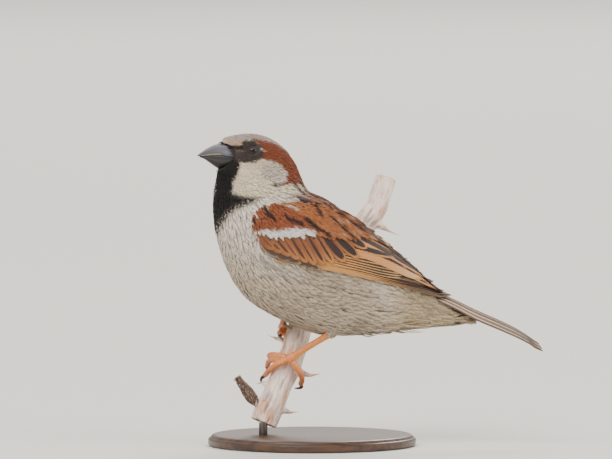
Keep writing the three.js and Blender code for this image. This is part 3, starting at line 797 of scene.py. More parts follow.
WING_BED_OUTLINE = [
    (-22.0, 82.0), (-18.0, 87.5), (-6.0, 88.5), (10.0, 84.0), (26.0, 73.0), (44.0, 58.0), (20.0, 60.5),
    (2.0, 64.5), (-13.0, 71.0), (-20.0, 77.0),
]
ROOT_TRIES = 300000
roots, root_normals = scatter(skin_points, skin_faces, root_spacing, seed=3, count=ROOT_TRIES)
# No feather grows where the skin faces the root of the bill.
at_bill = (roots[:, 0] < -29) & (roots[:, 2] > 102)
facing_bill = at_bill & (root_normals[:, 0] < -0.97 + 0.15 * (roots[:, 2] > 109))
roots, root_normals = roots[~facing_bill], root_normals[~facing_bill]
ways = lie(roots, root_normals)
print("roots:", len(roots))


# %% Building a coat piece from copies of the pattern feathers
def skin_drop(points):
    """Where points in the air over the body come down on the skin."""
    return nearest(skin_tree, points)[0]


def with_alpha(colour, alpha):
    """Colours with a fourth number, one for all or one for each."""
    return np.concatenate([colour, np.broadcast_to(np.asarray(alpha, float), (len(colour),))[:, None]], 1)


def store(mesh, name, values, kind="FLOAT_COLOR", field="color"):
    """Stores a value at each point of a mesh, for a finish to read."""
    attribute = mesh.attributes.new(name, kind, "POINT")
    attribute.data.foreach_set(field, np.asarray(values).astype(np.float32).ravel())


def coat_mesh(name, parts):
    """A mesh from arrays, with the maps and colours that the plumage finishes read."""
    mesh = bpy.data.meshes.new(name)
    points, faces = parts["points"], parts["faces"]
    corners = faces.ravel()
    mesh.vertices.add(len(points))
    mesh.vertices.foreach_set("co", points.astype(np.float32).ravel())
    mesh.loops.add(len(corners))
    mesh.loops.foreach_set("vertex_index", corners.astype(np.int32))
    mesh.polygons.add(len(faces))
    mesh.polygons.foreach_set("loop_start", np.arange(0, len(corners), 3, dtype=np.int32))
    mesh.update(calc_edges=True)
    for key in ("OFBake", "vane", "barbs"):
        layer = mesh.uv_layers.new(name=key)
        layer.data.foreach_set("uv", parts[key][corners].astype(np.float32).ravel())
    for key in ("edge", "core"):
        store(mesh, key, parts[key])
    mesh.validate()
    return mesh


def plant(name, patterns, places, sizes, seed, drop=skin_drop, colours=None, rise=0.8):
    """Copies a pattern feather to each root.

    places holds the roots, normals and directions, and sizes the length, width and lift in millimetres, each
    one number or one for each root. drop brings a point down to the ground that the feathers lie on, and rise
    is the share of the lift that is reached half way. The colours are read at three points along each
    feather, so a marking can be finer than the feathers.
    """
    samples, colours = (0.35, 0.65, 0.95), colours or coat_colours
    rng = np.random.default_rng(seed)
    root, normal, way = places
    count = len(root)
    turn = rng.normal(0, 0.13, count)
    way = way * np.cos(turn)[:, None] + np.cross(way, normal) * np.sin(turn)[:, None]
    side = np.cross(way, normal)
    length, width, lift = (size * rng.uniform(0.86, 1.14, count) for size in sizes)
    heights = []
    for share, clear in ((0.5, rise), (1.0, 1.0)):
        ahead = root + way * (length * share)[:, None]
        height = ((drop(ahead) - ahead) * normal).sum(1) + clear * lift
        heights.append(np.clip(height, -0.4 * length, 0.35 * length))
    sink = -0.10
    half, full = heights[0] - sink, heights[1] - sink
    bend_b = 2 * full - 4 * half
    bend_a = full - bend_b
    looks = [colours(root + way * (length * share)[:, None], seed) for share in samples]
    which = rng.integers(0, len(patterns), count)
    parts = {key: [] for key in ("points", "faces", "OFBake", "vane", "barbs", "edge", "core")}
    bake_root = unwrap(root)
    start = 0
    for number, (shape, faces) in enumerate(patterns):
        these = np.flatnonzero(which == number)
        u, v, h = shape.T
        across, along = u[None] * width[these, None], v[None] * length[these, None]
        height = sink + bend_a[these, None] * v + bend_b[these, None] * v * v + h[None] - 0.5 * (u * u)[None]
        points = (
            root[these, None]
            + way[these, None] * along[..., None]
            + side[these, None] * across[..., None]
            + normal[these, None] * height[..., None]
        )
        vane = np.stack([u + 0.5, v], 1)
        first = start + np.arange(len(these))[:, None, None] * len(shape)
        parts["points"].append(points.reshape(-1, 3))
        parts["faces"].append((faces[None] + first).reshape(-1, 3))
        parts["vane"].append(np.tile(vane, (len(these), 1)))
        parts["barbs"].append(np.stack([across, along], -1).reshape(-1, 2))
        parts["OFBake"].append((bake_root[these, None] + (vane[None] - 0.5) * PATCH).reshape(-1, 2))
        late = np.clip((v - samples[1]) / (samples[2] - samples[1]), 0, 1)
        early = np.clip((samples[1] - v) / (samples[1] - samples[0]), 0, 1)
        weights = np.stack([early, 1 - early - late, late])
        for index, key in enumerate(("edge", "core")):
            mixed = sum(w[None, :, None] * look[index][these][:, None] for w, look in zip(weights, looks))
            parts[key].append(mixed.reshape(-1, 4))
        start += len(these) * len(shape)
    mesh = coat_mesh(name, {key: np.concatenate(part) for key, part in parts.items()})
    return finish_piece(name, mesh, soft_plumage)


# %% Where each part of the coat grows, and its colours
def coat_colours(points, seed):
    """Edge and centre colours for feathers whose tips show at these points."""
    rng = np.random.default_rng(seed)
    spot = points + rng.normal(0, 0.22, points.shape)
    edge = body_paint(spot)
    edge *= rng.uniform(0.90, 1.10, len(edge))[:, None]
    x, y, z = points.T
    core, half, reach = edge * 0.86, np.full(len(points), 0.25), np.full(len(points), 0.92)
    rows = np.cos(2 * math.pi * (np.abs(y) - 0.8) / 3.3) + rng.normal(0, 0.45, len(points)) > 0.1
    mantle = patch(points, MANTLE_OUTLINE, 1.0) * rows * smooth(-9, -5, x)
    core = lay(core, BACK_DARK, mantle)
    half = np.where(mantle > 0.5, 0.6, half)
    long_coverts = smooth(28, 36, x)
    core = lay(core, edge * 0.62, long_coverts * 0.9)
    half = np.where(long_coverts > 0.5, 0.28, half)
    # The lower edge of the bib has black feathers with pale fringes.
    fringed = smooth(1.6, 0.4, np.abs(side_distance(points, BIB_OUTLINE))) * smooth(92, 90, z)
    edge = lay(edge, FRINGE, fringed * 0.85)
    core = lay(core, BLACK, fringed)
    half = np.where(fringed > 0.4, 0.75, half)
    reach = np.where(fringed > 0.4, 0.80, reach)
    return with_alpha(np.clip(edge, 0.003, 1), reach), with_alpha(np.clip(core, 0.002, 1), half)


skin_mesh = mesh_of(skin_bm, "sparrow_skin")
store(skin_mesh, "edge", with_alpha(body_paint(skin_points), 1.0))
finish_piece("sparrow_skin", skin_mesh, plumage_ground, FLESH)

root_x, root_y, root_z = roots.T
root_across = np.abs(root_y)
head_share = on_head(roots)
is_head, is_left = head_share > 0.5, root_y < 0
is_face = is_head & (bill_gap(roots) < 9)
is_back = (patch(roots, MANTLE_OUTLINE, 0.5) > 0.5) | (patch(roots, RUMP_OUTLINE, 0.5) > 0.5)
is_under = ~is_head & ~is_back
BREAST_END, VENT_START = -16, 24
is_flank = is_under & (root_x >= BREAST_END) & (root_x < VENT_START)
REGIONS = {
    "face_feathers": is_face,
    "head_feathers_left": is_head & ~is_face & is_left,
    "head_feathers_right": is_head & ~is_face & ~is_left,
    "back_feathers": ~is_head & is_back,
    "breast_feathers": is_under & (root_x < BREAST_END),
    "flank_feathers_left": is_flank & is_left,
    "flank_feathers_right": is_flank & ~is_left,
    "vent_feathers": is_under & (root_x >= VENT_START),
}
small = np.maximum(smooth(15, 6, bill_gap(roots)), smooth(9, 4, eye_gap(roots))) * head_share
rear = smooth(14, 30, root_x)
root_length = 5.6 - 2.9 * head_share - 1.2 * small + 2.2 * rear
root_width = 2.5 - 1.45 * head_share - 0.3 * small + 0.6 * rear
root_length = np.where(root_x > VENT_START, np.clip(60.0 - root_x, 1.8, root_length), root_length)
root_lift = coat_depth(roots) * 0.95
# Behind the legs a few feathers stand loose below the belly's outline.
loose = smooth(0.25, 0.7, soft_noise(roots, 3.0, 21)) * smooth(12, 18, root_x) * smooth(42, 36, root_x)
loose = loose * smooth(47, 43, root_z)
root_lift += 1.5 * loose
root_length += 0.8 * loose
# Round the front and the upper edge of the wing the coat stands up, and its tips cover the edge.
wing_gap = side_distance(roots, WING_BED_OUTLINE)
leading = smooth(4.5, 2.0, wing_gap) * smooth(-13, -17, root_x) * smooth(6, 9, root_across)
low_front = leading * smooth(79, 76, root_z)
root_lift += 0.3 * leading + 0.7 * low_front
root_length += 2.6 * low_front - 1.4 * leading
upper_edge = smooth(4.0, 1.0, wing_gap) * smooth(85, 88, root_z) * smooth(5, 0, root_x)
upper_edge = upper_edge * smooth(5, 7, root_across) * (1 - leading)
root_lift += 1.2 * upper_edge
root_length -= 1.5 * upper_edge
for number, (name, mask) in enumerate(REGIONS.items()):
    patterns = {"face": FACE_PATTERNS, "head": HEAD_PATTERNS}.get(name[:4], BODY_PATTERNS)
    places = (roots[mask], root_normals[mask], ways[mask])
    sizes = (root_length[mask], root_width[mask], root_lift[mask])
    plant(name, patterns, places, sizes, seed=20 + number, rise=0.65 if name == "vent_feathers" else 0.8)

# %% [markdown]
# ## The folded wing: a bed to lay feathers on
# Each folded wing is a thin shell over the flank. Its solid becomes a smooth bed, a little below the true
# surface. A map of that bed, looked at from the side and a little above, then turns any place in the
# bird's side view into a point and a normal, so a row of feathers can be laid out flat and wrapped on.

# %% Wing bed and its map
BED_SINK_FLANK, BED_SINK_BACK = 0.95, 0.35
LOOK_DOWN = math.radians(30)
INTO = np.array([0.0, math.cos(LOOK_DOWN), -math.sin(LOOK_DOWN)])  # the way the map looks at the left wing
UPWARD = np.array([0.0, math.sin(LOOK_DOWN), math.cos(LOOK_DOWN)])
MAP_STEP = 0.5
BED_SWELL, BED_VOXEL = 0.2, 0.5

bed_bm = cad_copy("left_wing_coverts", "left_wing_quills")
bed_bm.normal_update()
swell(bed_bm, BED_SWELL)
bed_bm = welded(bed_bm, BED_VOXEL, 5)
for vert in bed_bm.verts:
    outward = float(smooth(-0.2, 0.4, -vert.normal.dot(Vector(INTO))))
    sink = blend(BED_SINK_BACK, BED_SINK_FLANK, float(smooth(4, 13, -vert.co.y)))
    vert.co -= vert.normal * (BED_SWELL + outward * sink)
FRONT_EDGE = [
    (24.0, 59.8), (2.0, 64.5), (-12.0, 69.0), (-19.0, 73.0), (-21.8, 78.0), (-21.8, 82.0), (-20.0, 86.0),
    (-15.0, 89.5), (-5.0, 91.0),
]


def front_gap(points):
    """How far each point is from the wing's front and lower edge in the side view."""
    return np.abs(side_distance(points, FRONT_EDGE + FRONT_EDGE[-2:0:-1]))


# Near its front edge the bed stays low over the body, and further back it may stand higher.
for vert, gap in zip(bed_bm.verts, front_gap(points_of(bed_bm))):
    spot, out, _, _ = skin_tree.find_nearest(vert.co)
    height = (vert.co - spot).dot(out)
    limit = 1.2 + 0.6 * float(smooth(-16, -6, vert.co.x)) + 0.32 * gap
    if height > 0:
        vert.co += out * (height / (1 + (height / limit) ** 4) ** 0.25 - height)
bmesh.ops.triangulate(bed_bm, faces=bed_bm.faces)
bed_tree = BVHTree.FromBMesh(bed_bm)
WING_LOW_X = (-20.0, -12.8, -5.8, 1.8, 10.2, 21.5, 33.9, 42.3, 50.0)
WING_LOW_Z = (75.5, 68.6, 67.1, 64.9, 62.4, 60.2, 58.0, 56.5, 54.0)


def neighbours(padded):
    """The sum of the four cells round each cell of a padded map."""
    return padded[:-2, 1:-1] + padded[2:, 1:-1] + padded[1:-1, :-2] + padded[1:-1, 2:]


def spread_known(grid):
    """Fills the unknown cells of a map from their known neighbours, and smooths the whole."""
    known = ~np.isnan(grid)
    grid = np.where(known, grid, 0.0)
    while not known.all():
        total, count = neighbours(np.pad(grid * known, 1)), neighbours(np.pad(known.astype(float), 1))
        grow = ~known & (count > 0)
        grid[grow] = total[grow] / count[grow]
        known = known | grow
    for _ in range(4):
        grid = (neighbours(np.pad(grid, 1, mode="edge")) + 2 * grid) / 6
    return grid


def look_map(columns, rows, start_of, direction):
    """How far a ray travels to the wing bed from each place of a flat grid."""
    grid = np.full((len(columns), len(rows)), np.nan)
    for i, a in enumerate(columns):
        for j, b in enumerate(rows):
            hit = bed_tree.ray_cast(Vector(start_of(a, b)), Vector(direction))
            if hit[0] is not None:
                grid[i, j] = hit[3]
    return spread_known(grid)


def read_map(grid, columns, rows, a, b):
    """The map's value between its grid places."""
    i = np.clip((np.asarray(a) - columns[0]) / MAP_STEP, 0, len(columns) - 1.001)
    j = np.clip((np.asarray(b) - rows[0]) / MAP_STEP, 0, len(rows) - 1.001)
    i0, j0 = i.astype(int), j.astype(int)
    fi, fj = i - i0, j - j0
    return (
        grid[i0, j0] * (1 - fi) * (1 - fj) + grid[i0 + 1, j0] * fi * (1 - fj)
        + grid[i0, j0 + 1] * (1 - fi) * fj + grid[i0 + 1, j0 + 1] * fi * fj
    )


MAP_X = np.arange(-28, 60, MAP_STEP)
MAP_Q = np.arange(34, 92, MAP_STEP)
MAP_Z = np.arange(48, 96, MAP_STEP)
FAR = 80.0
tilted = look_map(MAP_X, MAP_Q, lambda x, q: np.array([x, 0, 0]) + UPWARD * q - INTO * FAR, INTO)
level = look_map(MAP_X, MAP_Z, lambda x, z: np.array([x, -FAR, z]), (0, 1, 0))
for vert in bed_bm.verts:  # the shown bed stays hidden above the lowest quill
    vert.co.z = max(vert.co.z, float(np.interp(vert.co.x, WING_LOW_X, WING_LOW_Z)) + 1.8)


def wing_place(x, z, y=None):
    """The place on the tilted map of a point of the side view, or of any point when y is given."""
    if y is None:
        y = read_map(level, MAP_X, MAP_Z, x, z) - FAR
    return np.array([x, UPWARD[1] * y + UPWARD[2] * z])


def top_spot(x, y):
    """The point of the wing bed straight below a place of the top view, as (x, z, y) for wing_place."""
    hit = bed_tree.ray_cast(Vector((x, y, 150)), Vector((0, 0, -1)))
    return x, hit[0].z if hit[0] is not None else 70.0, y


def wing_points(x, q, height):
    """Points on the wing bed at places of the tilted map, raised off it by a height."""
    def at(a, b):
        depth = read_map(tilted, MAP_X, MAP_Q, a, b) - FAR
        return np.stack([a, b * UPWARD[1] + depth * INTO[1], b * UPWARD[2] + depth * INTO[2]], -1)

    here = at(x, q)
    normal = np.cross(at(x, q + 0.8) - at(x, q - 0.8), at(x + 0.8, q) - at(x - 0.8, q))
    normal = unit(normal)
    normal *= np.where((normal @ INTO) > 0, -1, 1)[..., None]
    return here + normal * height[..., None]


bed_surface, bed_faces = points_of(bed_bm), faces_of(bed_bm)
print("wing maps:", tilted.shape, level.shape)

# %% [markdown]
# ## Vaned feathers
# A wing feather is one broad, closed vane with a raised shaft, a narrow outer web and a wide inner one. The
# pattern is a grid given a thickness with solidify. `lay_feather` bends a copy along its line on the wing
# map. Each feather is a row in a plan that reads like a field guide: root, tip, webs, colours, height.

# %% The pattern vane
VANE_ACROSS, VANE_ALONG = 6, 14
grid_bm = bmesh.new()
bmesh.ops.create_grid(grid_bm, x_segments=VANE_ACROSS, y_segments=VANE_ALONG, size=1.0)
bmesh.ops.solidify(grid_bm, geom=grid_bm.faces[:], thickness=0.5)
bmesh.ops.recalc_face_normals(grid_bm, faces=grid_bm.faces)
bmesh.ops.triangulate(grid_bm, faces=grid_bm.faces)
vane_shape, vane_faces = arrays_of(grid_bm)
VANE_U, VANE_V = vane_shape[:, 0], vane_shape[:, 1] / 2 + 0.5
VANE_TOP = (vane_shape[:, 2] - vane_shape[:, 2].min()) / np.ptp(vane_shape[:, 2])
VANE_SHAFT = 0.05 * (np.abs(VANE_U) < 0.1)  # the shaft stands out this far
THIN = 0.07  # the thickness of a vane
LAYER = 0.8  # scales every height over the wing bed
print("vane:", len(vane_faces), "triangles")


class FeatherPlan:
    """Collects the arrays of many vanes and makes one mesh of them."""

    def __init__(self, seed):
        self.parts = {key: [] for key in ("points", "faces", "vane", "barbs", "edge", "core")}
        self.count = 0
        self.rng = np.random.default_rng(seed)

    def add(self, points, length, edge, core, half, reach, shift, across):
        """Stores one vane whose points are placed.

        edge is a colour, or two colours and the places along the vane where one turns into the other. half
        and reach are the width and the length of the dark centre, and shift moves it towards the upper web.
        """
        self.parts["points"].append(points)
        self.parts["faces"].append(vane_faces + self.count * len(points))
        self.parts["vane"].append(np.stack([0.5 + (VANE_U - shift) / 2, VANE_V], 1))
        self.parts["barbs"].append(np.stack([across, VANE_V * length], 1))
        tone = self.rng.uniform(0.92, 1.08)
        first, last, low, high = edge if isinstance(edge, tuple) else (edge, edge, 0.0, 1.0)
        share = smooth(low, high, VANE_V)[:, None]
        colour = first * (1 - share) + last * share
        self.parts["edge"].append(with_alpha(colour * tone, reach))
        self.parts["core"].append(with_alpha(np.tile(core * tone, (len(points), 1)), half))
        self.count += 1

    def mesh(self, name, mirror=False):
        """One mesh of all the vanes. Each gets its own cell on the OFBake map."""
        joined = {key: np.concatenate(part) for key, part in self.parts.items()}
        cells = math.ceil(math.sqrt(self.count))
        number = np.repeat(np.arange(self.count), len(VANE_U))
        own = np.tile(np.stack([VANE_U / 2 + 0.5, VANE_V], 1), (self.count, 1))
        joined["OFBake"] = (np.stack([number % cells, number // cells], 1) + 0.06 + 0.88 * own) / cells
        if mirror:
            joined["points"], joined["faces"] = joined["points"] * [1, -1, 1], joined["faces"][:, ::-1]
        return coat_mesh(name, joined)


def web_width(v, outer, inner, u, tip_power, root_share):
    """The sideways place of a point of the vane: narrow at the root, full in the middle, round at the tip."""
    grow = root_share + (1 - root_share) * smooth(0.0, 0.35, v)
    close = np.sqrt(np.clip(1.0004 - v**tip_power, 0, 1))
    return np.where(u < 0, outer, inner) * u * grow * close


def lay_feather(
    plan, root, tip, outer, inner, edge, core, half=0.4, reach=0.92, shift=0.0, low=0.3, high=0.6, bow=0.0,
    tip_power=6.0, root_share=0.45, camber=0.12, fray=0.05, tilt=0.0,
):
    """Lays one vane on the left wing from a root to a tip in the side view, in millimetres.

    outer and inner are the widths of the webs below and above the shaft, low and high the heights of its
    root and tip above the bed, bow how far its line bends upwards, and tilt how far its lower web rises
    over the feather below it, like a roof shingle.
    """
    start, end = wing_place(*root), wing_place(*tip)
    line = end - start
    length = float(np.linalg.norm(line))
    ahead, up = line / length, np.array([-line[1], line[0]]) / length
    if up[1] < 0:
        up = -up
    across = web_width(VANE_V, outer, inner, VANE_U, tip_power, root_share)
    across = across * (1 + fray * np.sin(VANE_V * 41 + plan.count) * np.abs(VANE_U))
    along = VANE_V * length - 0.10 * np.abs(across) * (VANE_V > 0.5)
    lift = bow * 4 * VANE_V * (1 - VANE_V) + across
    place = start + along[:, None] * ahead + lift[:, None] * up
    height = blend(low, high, smooth(0, 1, VANE_V)) + camber * (1 - VANE_U**2) + VANE_SHAFT - tilt * VANE_U
    height = height * (0.35 + 0.65 * smooth(-21, -14, place[:, 0]))
    height = height + THIN * (VANE_TOP - 0.5) * (1.0 - 0.5 * VANE_V)
    points = wing_points(place[:, 0], place[:, 1], height * LAYER)
    plan.add(points, length, edge, core, half, reach, shift, across)


# %% [markdown]
# ## The plan of the wing
# The order is the real one. The primaries, the long quills of the hand, lie lowest, and only the pale edge
# of each shows under the next. Over them come the secondaries, the three broad tertials, the primary
# coverts with the alula, and the greater coverts. The small feathers above these belong to the shoulder.

# %% Colours of the wing
QUILL_DARK, QUILL_EDGE = rgb(66, 50, 40), rgb(204, 148, 88)
TIP_BROWN, TIP_EDGE = rgb(78, 62, 52), rgb(126, 102, 82)
TERTIAL_DARK, TERTIAL_EDGE, TERTIAL_PALE = rgb(52, 42, 40), rgb(196, 138, 86), rgb(208, 166, 116)
COVERT_BROWN, COVERT_REAR, COVERT_DARK = rgb(130, 78, 48), rgb(184, 122, 70), rgb(44, 36, 34)
BAR_WHITE = rgb(244, 238, 236)
LESSER, LESSER_LIGHT = rgb(142, 76, 50), rgb(166, 96, 62)
HAND_DARK, HAND_EDGE = rgb(72, 60, 54), rgb(136, 110, 84)
SCAPULAR, SCAPULAR_LIGHT, STREAK = rgb(164, 94, 56), rgb(188, 120, 72), rgb(40, 34, 35)
PALE_EDGE, LOWER_BACK = rgb(214, 194, 174), rgb(136, 106, 82)
# The low, dark bed colour is painted shade for where the bed shows between the quills; the shoulder colour
# matches the rust feathers.
BED_PAINTED_SHADE, BED_SHOULDER = rgb(72, 54, 42), rgb(150, 94, 62)

# %% The vanes of the wing
# What the feathers of one kind share.
QUILL = dict(inner=1.7, reach=0.985, shift=0.30, root_share=0.8, camber=0.0, fray=0.0, tilt=0.10)
TERTIAL = dict(core=TERTIAL_DARK, fray=0.02, tilt=0.05)
HAND = dict(edge=HAND_EDGE, core=HAND_DARK, tilt=0.08)
wing = FeatherPlan(seed=7)

# Primaries: the outermost lies lowest and makes the wing's lower edge.
PRIMARY_TIPS = [
    (50.6, 54.3), (51.4, 54.9), (50.2, 55.6), (47.8, 56.6), (45.2, 57.6), (42.8, 58.5), (40.4, 59.3),
    (38.0, 60.1), (35.8, 60.9),
]
for k, tip in enumerate(PRIMARY_TIPS):
    lay_feather(
        wing, (-13.0 + 1.2 * k, 68.9 + 0.36 * k), tip, outer=1.1, low=0.05 + 0.06 * k, high=0.10 + 0.08 * k,
        edge=(QUILL_EDGE, TIP_EDGE, 0.60, 0.85), core=TIP_BROWN if k < 3 else QUILL_DARK, half=1.34, bow=-1.0,
        tip_power=9, **QUILL,
    )

# Secondaries: a fan of six whose edges make the fine lines of the wing panel.
for j in range(6):
    lay_feather(
        wing, (-5.0 + 1.5 * j, 71.6 + 0.45 * j), (32.2 + 0.35 * j, 61.6 + 0.74 * j), outer=1.0,
        low=0.60 + 0.06 * j, high=0.82 + 0.07 * j, edge=(QUILL_EDGE, TERTIAL_PALE, 0.5, 0.9), core=QUILL_DARK,
        half=1.22, bow=-0.9, tip_power=10, **QUILL,
    )

# Tertials, from the longest and lowest to the shortest on top.
lay_feather(
    wing, (6.0, 76.6), (39.2, 60.4), outer=2.7, inner=2.6, low=0.95, high=1.25,
    edge=(TERTIAL_EDGE, TERTIAL_PALE, 0.6, 1.0), half=0.50, reach=0.965, shift=0.62, bow=0.5, tip_power=7,
    camber=0.10, **TERTIAL,
)
lay_feather(
    wing, (9.0, 80.0), (40.6, 60.8), outer=1.7, inner=2.6, low=1.05, high=1.36, edge=TERTIAL_EDGE, half=0.78,
    reach=0.96, shift=0.16, bow=0.75, **TERTIAL,
)
lay_feather(
    wing, (10.0, 83.0), (28.2, 72.4), outer=1.7, inner=2.2, low=1.15, high=1.46, edge=TERTIAL_PALE, half=0.80,
    shift=0.10, bow=0.6, tip_power=5, **dict(TERTIAL, fray=0.03),
)

# The innermost feathers of the wing lie beside the midline of the back.
INNERMOST = [  # x and y of the root, x and y of the tip
    (6.0, -1.6, 45.0, -1.8), (4.0, -3.4, 41.5, -3.4), (2.0, -5.4, 36.0, -5.2), (0.0, -7.6, 30.0, -7.0),
]
for k, (x, y, tip_x, tip_y) in enumerate(INNERMOST):
    lay_feather(
        wing, top_spot(x, y), top_spot(tip_x, tip_y), outer=1.9, inner=1.9, low=0.7 + 0.08 * k,
        high=1.0 + 0.10 * k, edge=TERTIAL_EDGE, half=0.72, reach=0.95, camber=0.10,
        **dict(TERTIAL, tilt=0.04),
    )

# Primary coverts and the three alula feathers at the bend.
for k in range(6):
    lay_feather(
        wing, (-17.0 + 1.6 * k, 74.2 - 0.2 * k), (-9.2 + 2.5 * k, 68.4 - 0.62 * k), outer=1.1, inner=1.7,
        low=0.62, high=0.84 + 0.06 * k, half=0.88, bow=-0.6, tip_power=5, **HAND,
    )
for k in range(3):
    lay_feather(
        wing, (-19.0 + 0.6 * k, 76.2 - 0.4 * k), (-12.0 + 4.2 * k, 70.0 - 1.2 * k), outer=1.4, inner=1.9,
        low=0.80, high=0.98 + 0.06 * k, half=1.0, shift=0.14, bow=-0.8, tip_power=4, **HAND,
    )

# Greater coverts: plain brown with a soft dark shaft in front, black drops with buff edges behind.
GREATER_ROOTS = [
    (-18.8, 78.6), (-16.8, 78.8), (-14.2, 78.9), (-11.6, 79.0), (-8.8, 79.0), (-5.8, 79.0),
    (-2.6, 79.0), (0.6, 78.9), (2.6, 78.8), (6.0, 79.0), (10.0, 78.4),
]
GREATER_TIPS = [
    (-13.0, 73.2), (-10.2, 71.9), (-7.4, 70.5), (-4.6, 69.1), (-1.6, 67.9), (1.4, 67.0), (4.6, 66.9),
    (7.6, 67.4), (11.9, 67.8), (16.6, 68.9), (19.4, 72.0),
]
GREATER_DARK = [0.10, 0.18, 0.26, 0.14, 0.32, 0.18, 0.40, 0.30, 0.78, 0.80, 0.78]
for i, (root, tip, dark) in enumerate(zip(GREATER_ROOTS, GREATER_TIPS, GREATER_DARK)):
    rear = (i + 1) / len(GREATER_ROOTS)
    plain, tipped = COVERT_BROWN * (0.9 + 0.1 * (i % 2)), blend(COVERT_BROWN, COVERT_REAR, 0.3 + 0.7 * rear)
    broad = 0.35 if i > 7 else 0.0
    lay_feather(
        wing, root, tip, outer=1.75 + broad, inner=2.0 + broad, low=0.95, high=1.28 + 0.04 * i,
        edge=(plain, tipped, 0.45, 1.0), core=blend(COVERT_DARK, COVERT_BROWN, 0.25 * (1 - rear)), half=dark,
        reach=0.84 + 0.08 * rear, shift=0.12, bow=-1.0 + 1.0 * rear, tip_power=4.5, tilt=0.05, camber=0.08,
    )

# %% Both wings
# Below the shoulder the bed is a dark sheet of painted shade, and on the shoulder it is rust like the
# feathers.
n = Nodes("wing_ground")
on_shoulder = n.step(72 * MM, 77 * MM, n.split(n.place())["Z"])
wing_ground = n.set(Base_Color=n.mix(on_shoulder, BED_PAINTED_SHADE, BED_SHOULDER), Roughness=0.9)
for side, sign in SIDES.items():
    bed_copy = bed_bm.copy()
    if sign > 0:
        whole = bed_copy.verts[:] + bed_copy.edges[:] + bed_copy.faces[:]
        bmesh.ops.mirror(bed_copy, geom=whole, axis="Y", merge_dist=-1)
        bmesh.ops.delete(bed_copy, geom=[v for v in bed_copy.verts if v.co.y < 0], context="VERTS")
        bmesh.ops.recalc_face_normals(bed_copy, faces=bed_copy.faces)
    solids = (f"{side}_wing_coverts", f"{side}_wing_quills")
    finish_piece(f"{side}_wing_bed", bed_copy, wing_ground, solids)
    name = f"{side}_wing_feathers"
    finish_piece(name, wing.mesh(name, mirror=sign > 0), vane_plumage)
bed_bm.free()
print("feathers in a wing:", wing.count)

# %% [markdown]
# ## The shoulder
# The small feathers of the shoulder are too many to lay one by one, so they are planted on the bed as the
# body's coat is, with markings of their own: chestnut in front, rust behind, black streaks, one pale streak
# and the white bar. Their tips end on one outline, so the bar's lower edge is as frayed as on the bird.

# %% Shoulder feathers
SHOULDER_OUTLINE = [
    (-21.6, 78.6), (-17.2, 77.3), (-14.5, 76.3), (-10.7, 76.2), (-6.9, 76.5), (-2.6, 77.0), (1.4, 77.4),
    (7.0, 76.2), (12.5, 75.4), (16.0, 75.6), (24.0, 74.2), (30.0, 76.0), (20.0, 90.0), (0.0, 98.0),
    (-24.0, 98.0), (-24.0, 80.0),
]
BAR_OUTLINE = [
    (-21.0, 79.1), (-16.6, 79.8), (-12.8, 79.4), (-9.1, 80.3), (-5.3, 80.6), (-2.0, 80.0), (1.1, 79.4),
    (1.3, 77.2), (-2.6, 76.0), (-10.7, 74.6), (-15.5, 75.0), (-21.0, 77.6),
]
CHESTNUT_SHOULDER = [(-24.0, 79.0), (2.0, 78.6), (-2.0, 84.4), (-9.0, 88.6), (-14.0, 92.0), (-24.0, 92.0)]
STREAKS = [  # start, end and half width of each dark streak
    ((-18.7, 88.6), (-16.4, 86.4), 0.62), ((-16.2, 86.0), (-13.4, 83.2), 0.75),
    ((-9.7, 84.9), (-7.0, 82.8), 0.5), ((-6.5, 83.6), (-3.5, 81.6), 0.62),
    ((-2.2, 83.8), (1.4, 80.8), 0.85), ((1.4, 80.8), (6.4, 77.6), 0.7), ((1.2, 88.6), (3.4, 85.0), 0.7),
    ((6.6, 84.6), (11.0, 80.6), 0.42), ((11.0, 80.6), (15.0, 76.8), 0.5),
    ((-10.6, 91.6), (-8.6, 90.3), 0.5), ((-7.8, 91.0), (-5.4, 89.4), 0.5),
    ((-4.4, 93.0), (-2.0, 91.4), 0.5), ((2.4, 91.2), (6.6, 87.8), 0.42),
    ((8.6, 86.8), (13.6, 82.6), 0.42), ((14.0, 82.8), (19.6, 78.2), 0.5),
    ((-21.0, 84.0), (-20.4, 81.4), 0.4),
]
PALE_STREAK = ((-10.7, 89.2), (-5.0, 86.7), 0.42)


def shoulder_colours(points, seed):
    """Edge and centre colours of the shoulder's feathers."""
    rng = np.random.default_rng(seed)
    rough = soft_noise(points, 1.6, 5)
    spot = points + rng.normal(0, 0.12, points.shape)
    spot[:, 2] += 0.16 * rough
    colour = lay(np.tile(SCAPULAR, (len(points), 1)), SCAPULAR_LIGHT, 0.5 + 0.5 * rough)
    chestnut = blend(LESSER, LESSER_LIGHT, (0.4 + 0.3 * rough)[:, None])
    colour = lay(colour, chestnut, patch(spot, CHESTNUT_SHOULDER, 1.2))
    colour = lay(colour, PALE_EDGE, stroke(spot, *PALE_STREAK, 0.25) * 0.9)
    pale = smooth(0.55, 0.9, soft_noise(spot * [0.5, 1, 1.2], 1.7, 6)) * smooth(4, 12, spot[:, 0])
    colour = lay(colour, PALE_EDGE, pale * 0.7)
    across = np.abs(spot[:, 1])
    lower_back = smooth(10, 20, spot[:, 0]) * smooth(7.5, 5.5, across)
    colour = lay(colour, LOWER_BACK, lower_back)
    colour = lay(colour, STREAK, lower_back * (np.cos(2 * math.pi * across / 2.2 + 2 * rough) > 0.3))
    for streak in STREAKS:
        colour = lay(colour, STREAK, stroke(spot, *streak, 0.28) * 0.94)
    colour = lay(colour, BAR_WHITE, patch(spot, BAR_OUTLINE, 0.3))
    colour = colour * rng.uniform(0.92, 1.08, len(colour))[:, None]
    return with_alpha(np.clip(colour, 0.003, 1), 0.94), with_alpha(np.clip(colour * 0.84, 0.003, 1), 0.2)


BED_COAT = 0.8
FALL_REAR, FALL_FRONT = np.array([0.84, 0.0, -0.54]), np.array([0.52, 0.0, -0.85])  # how the feathers lie


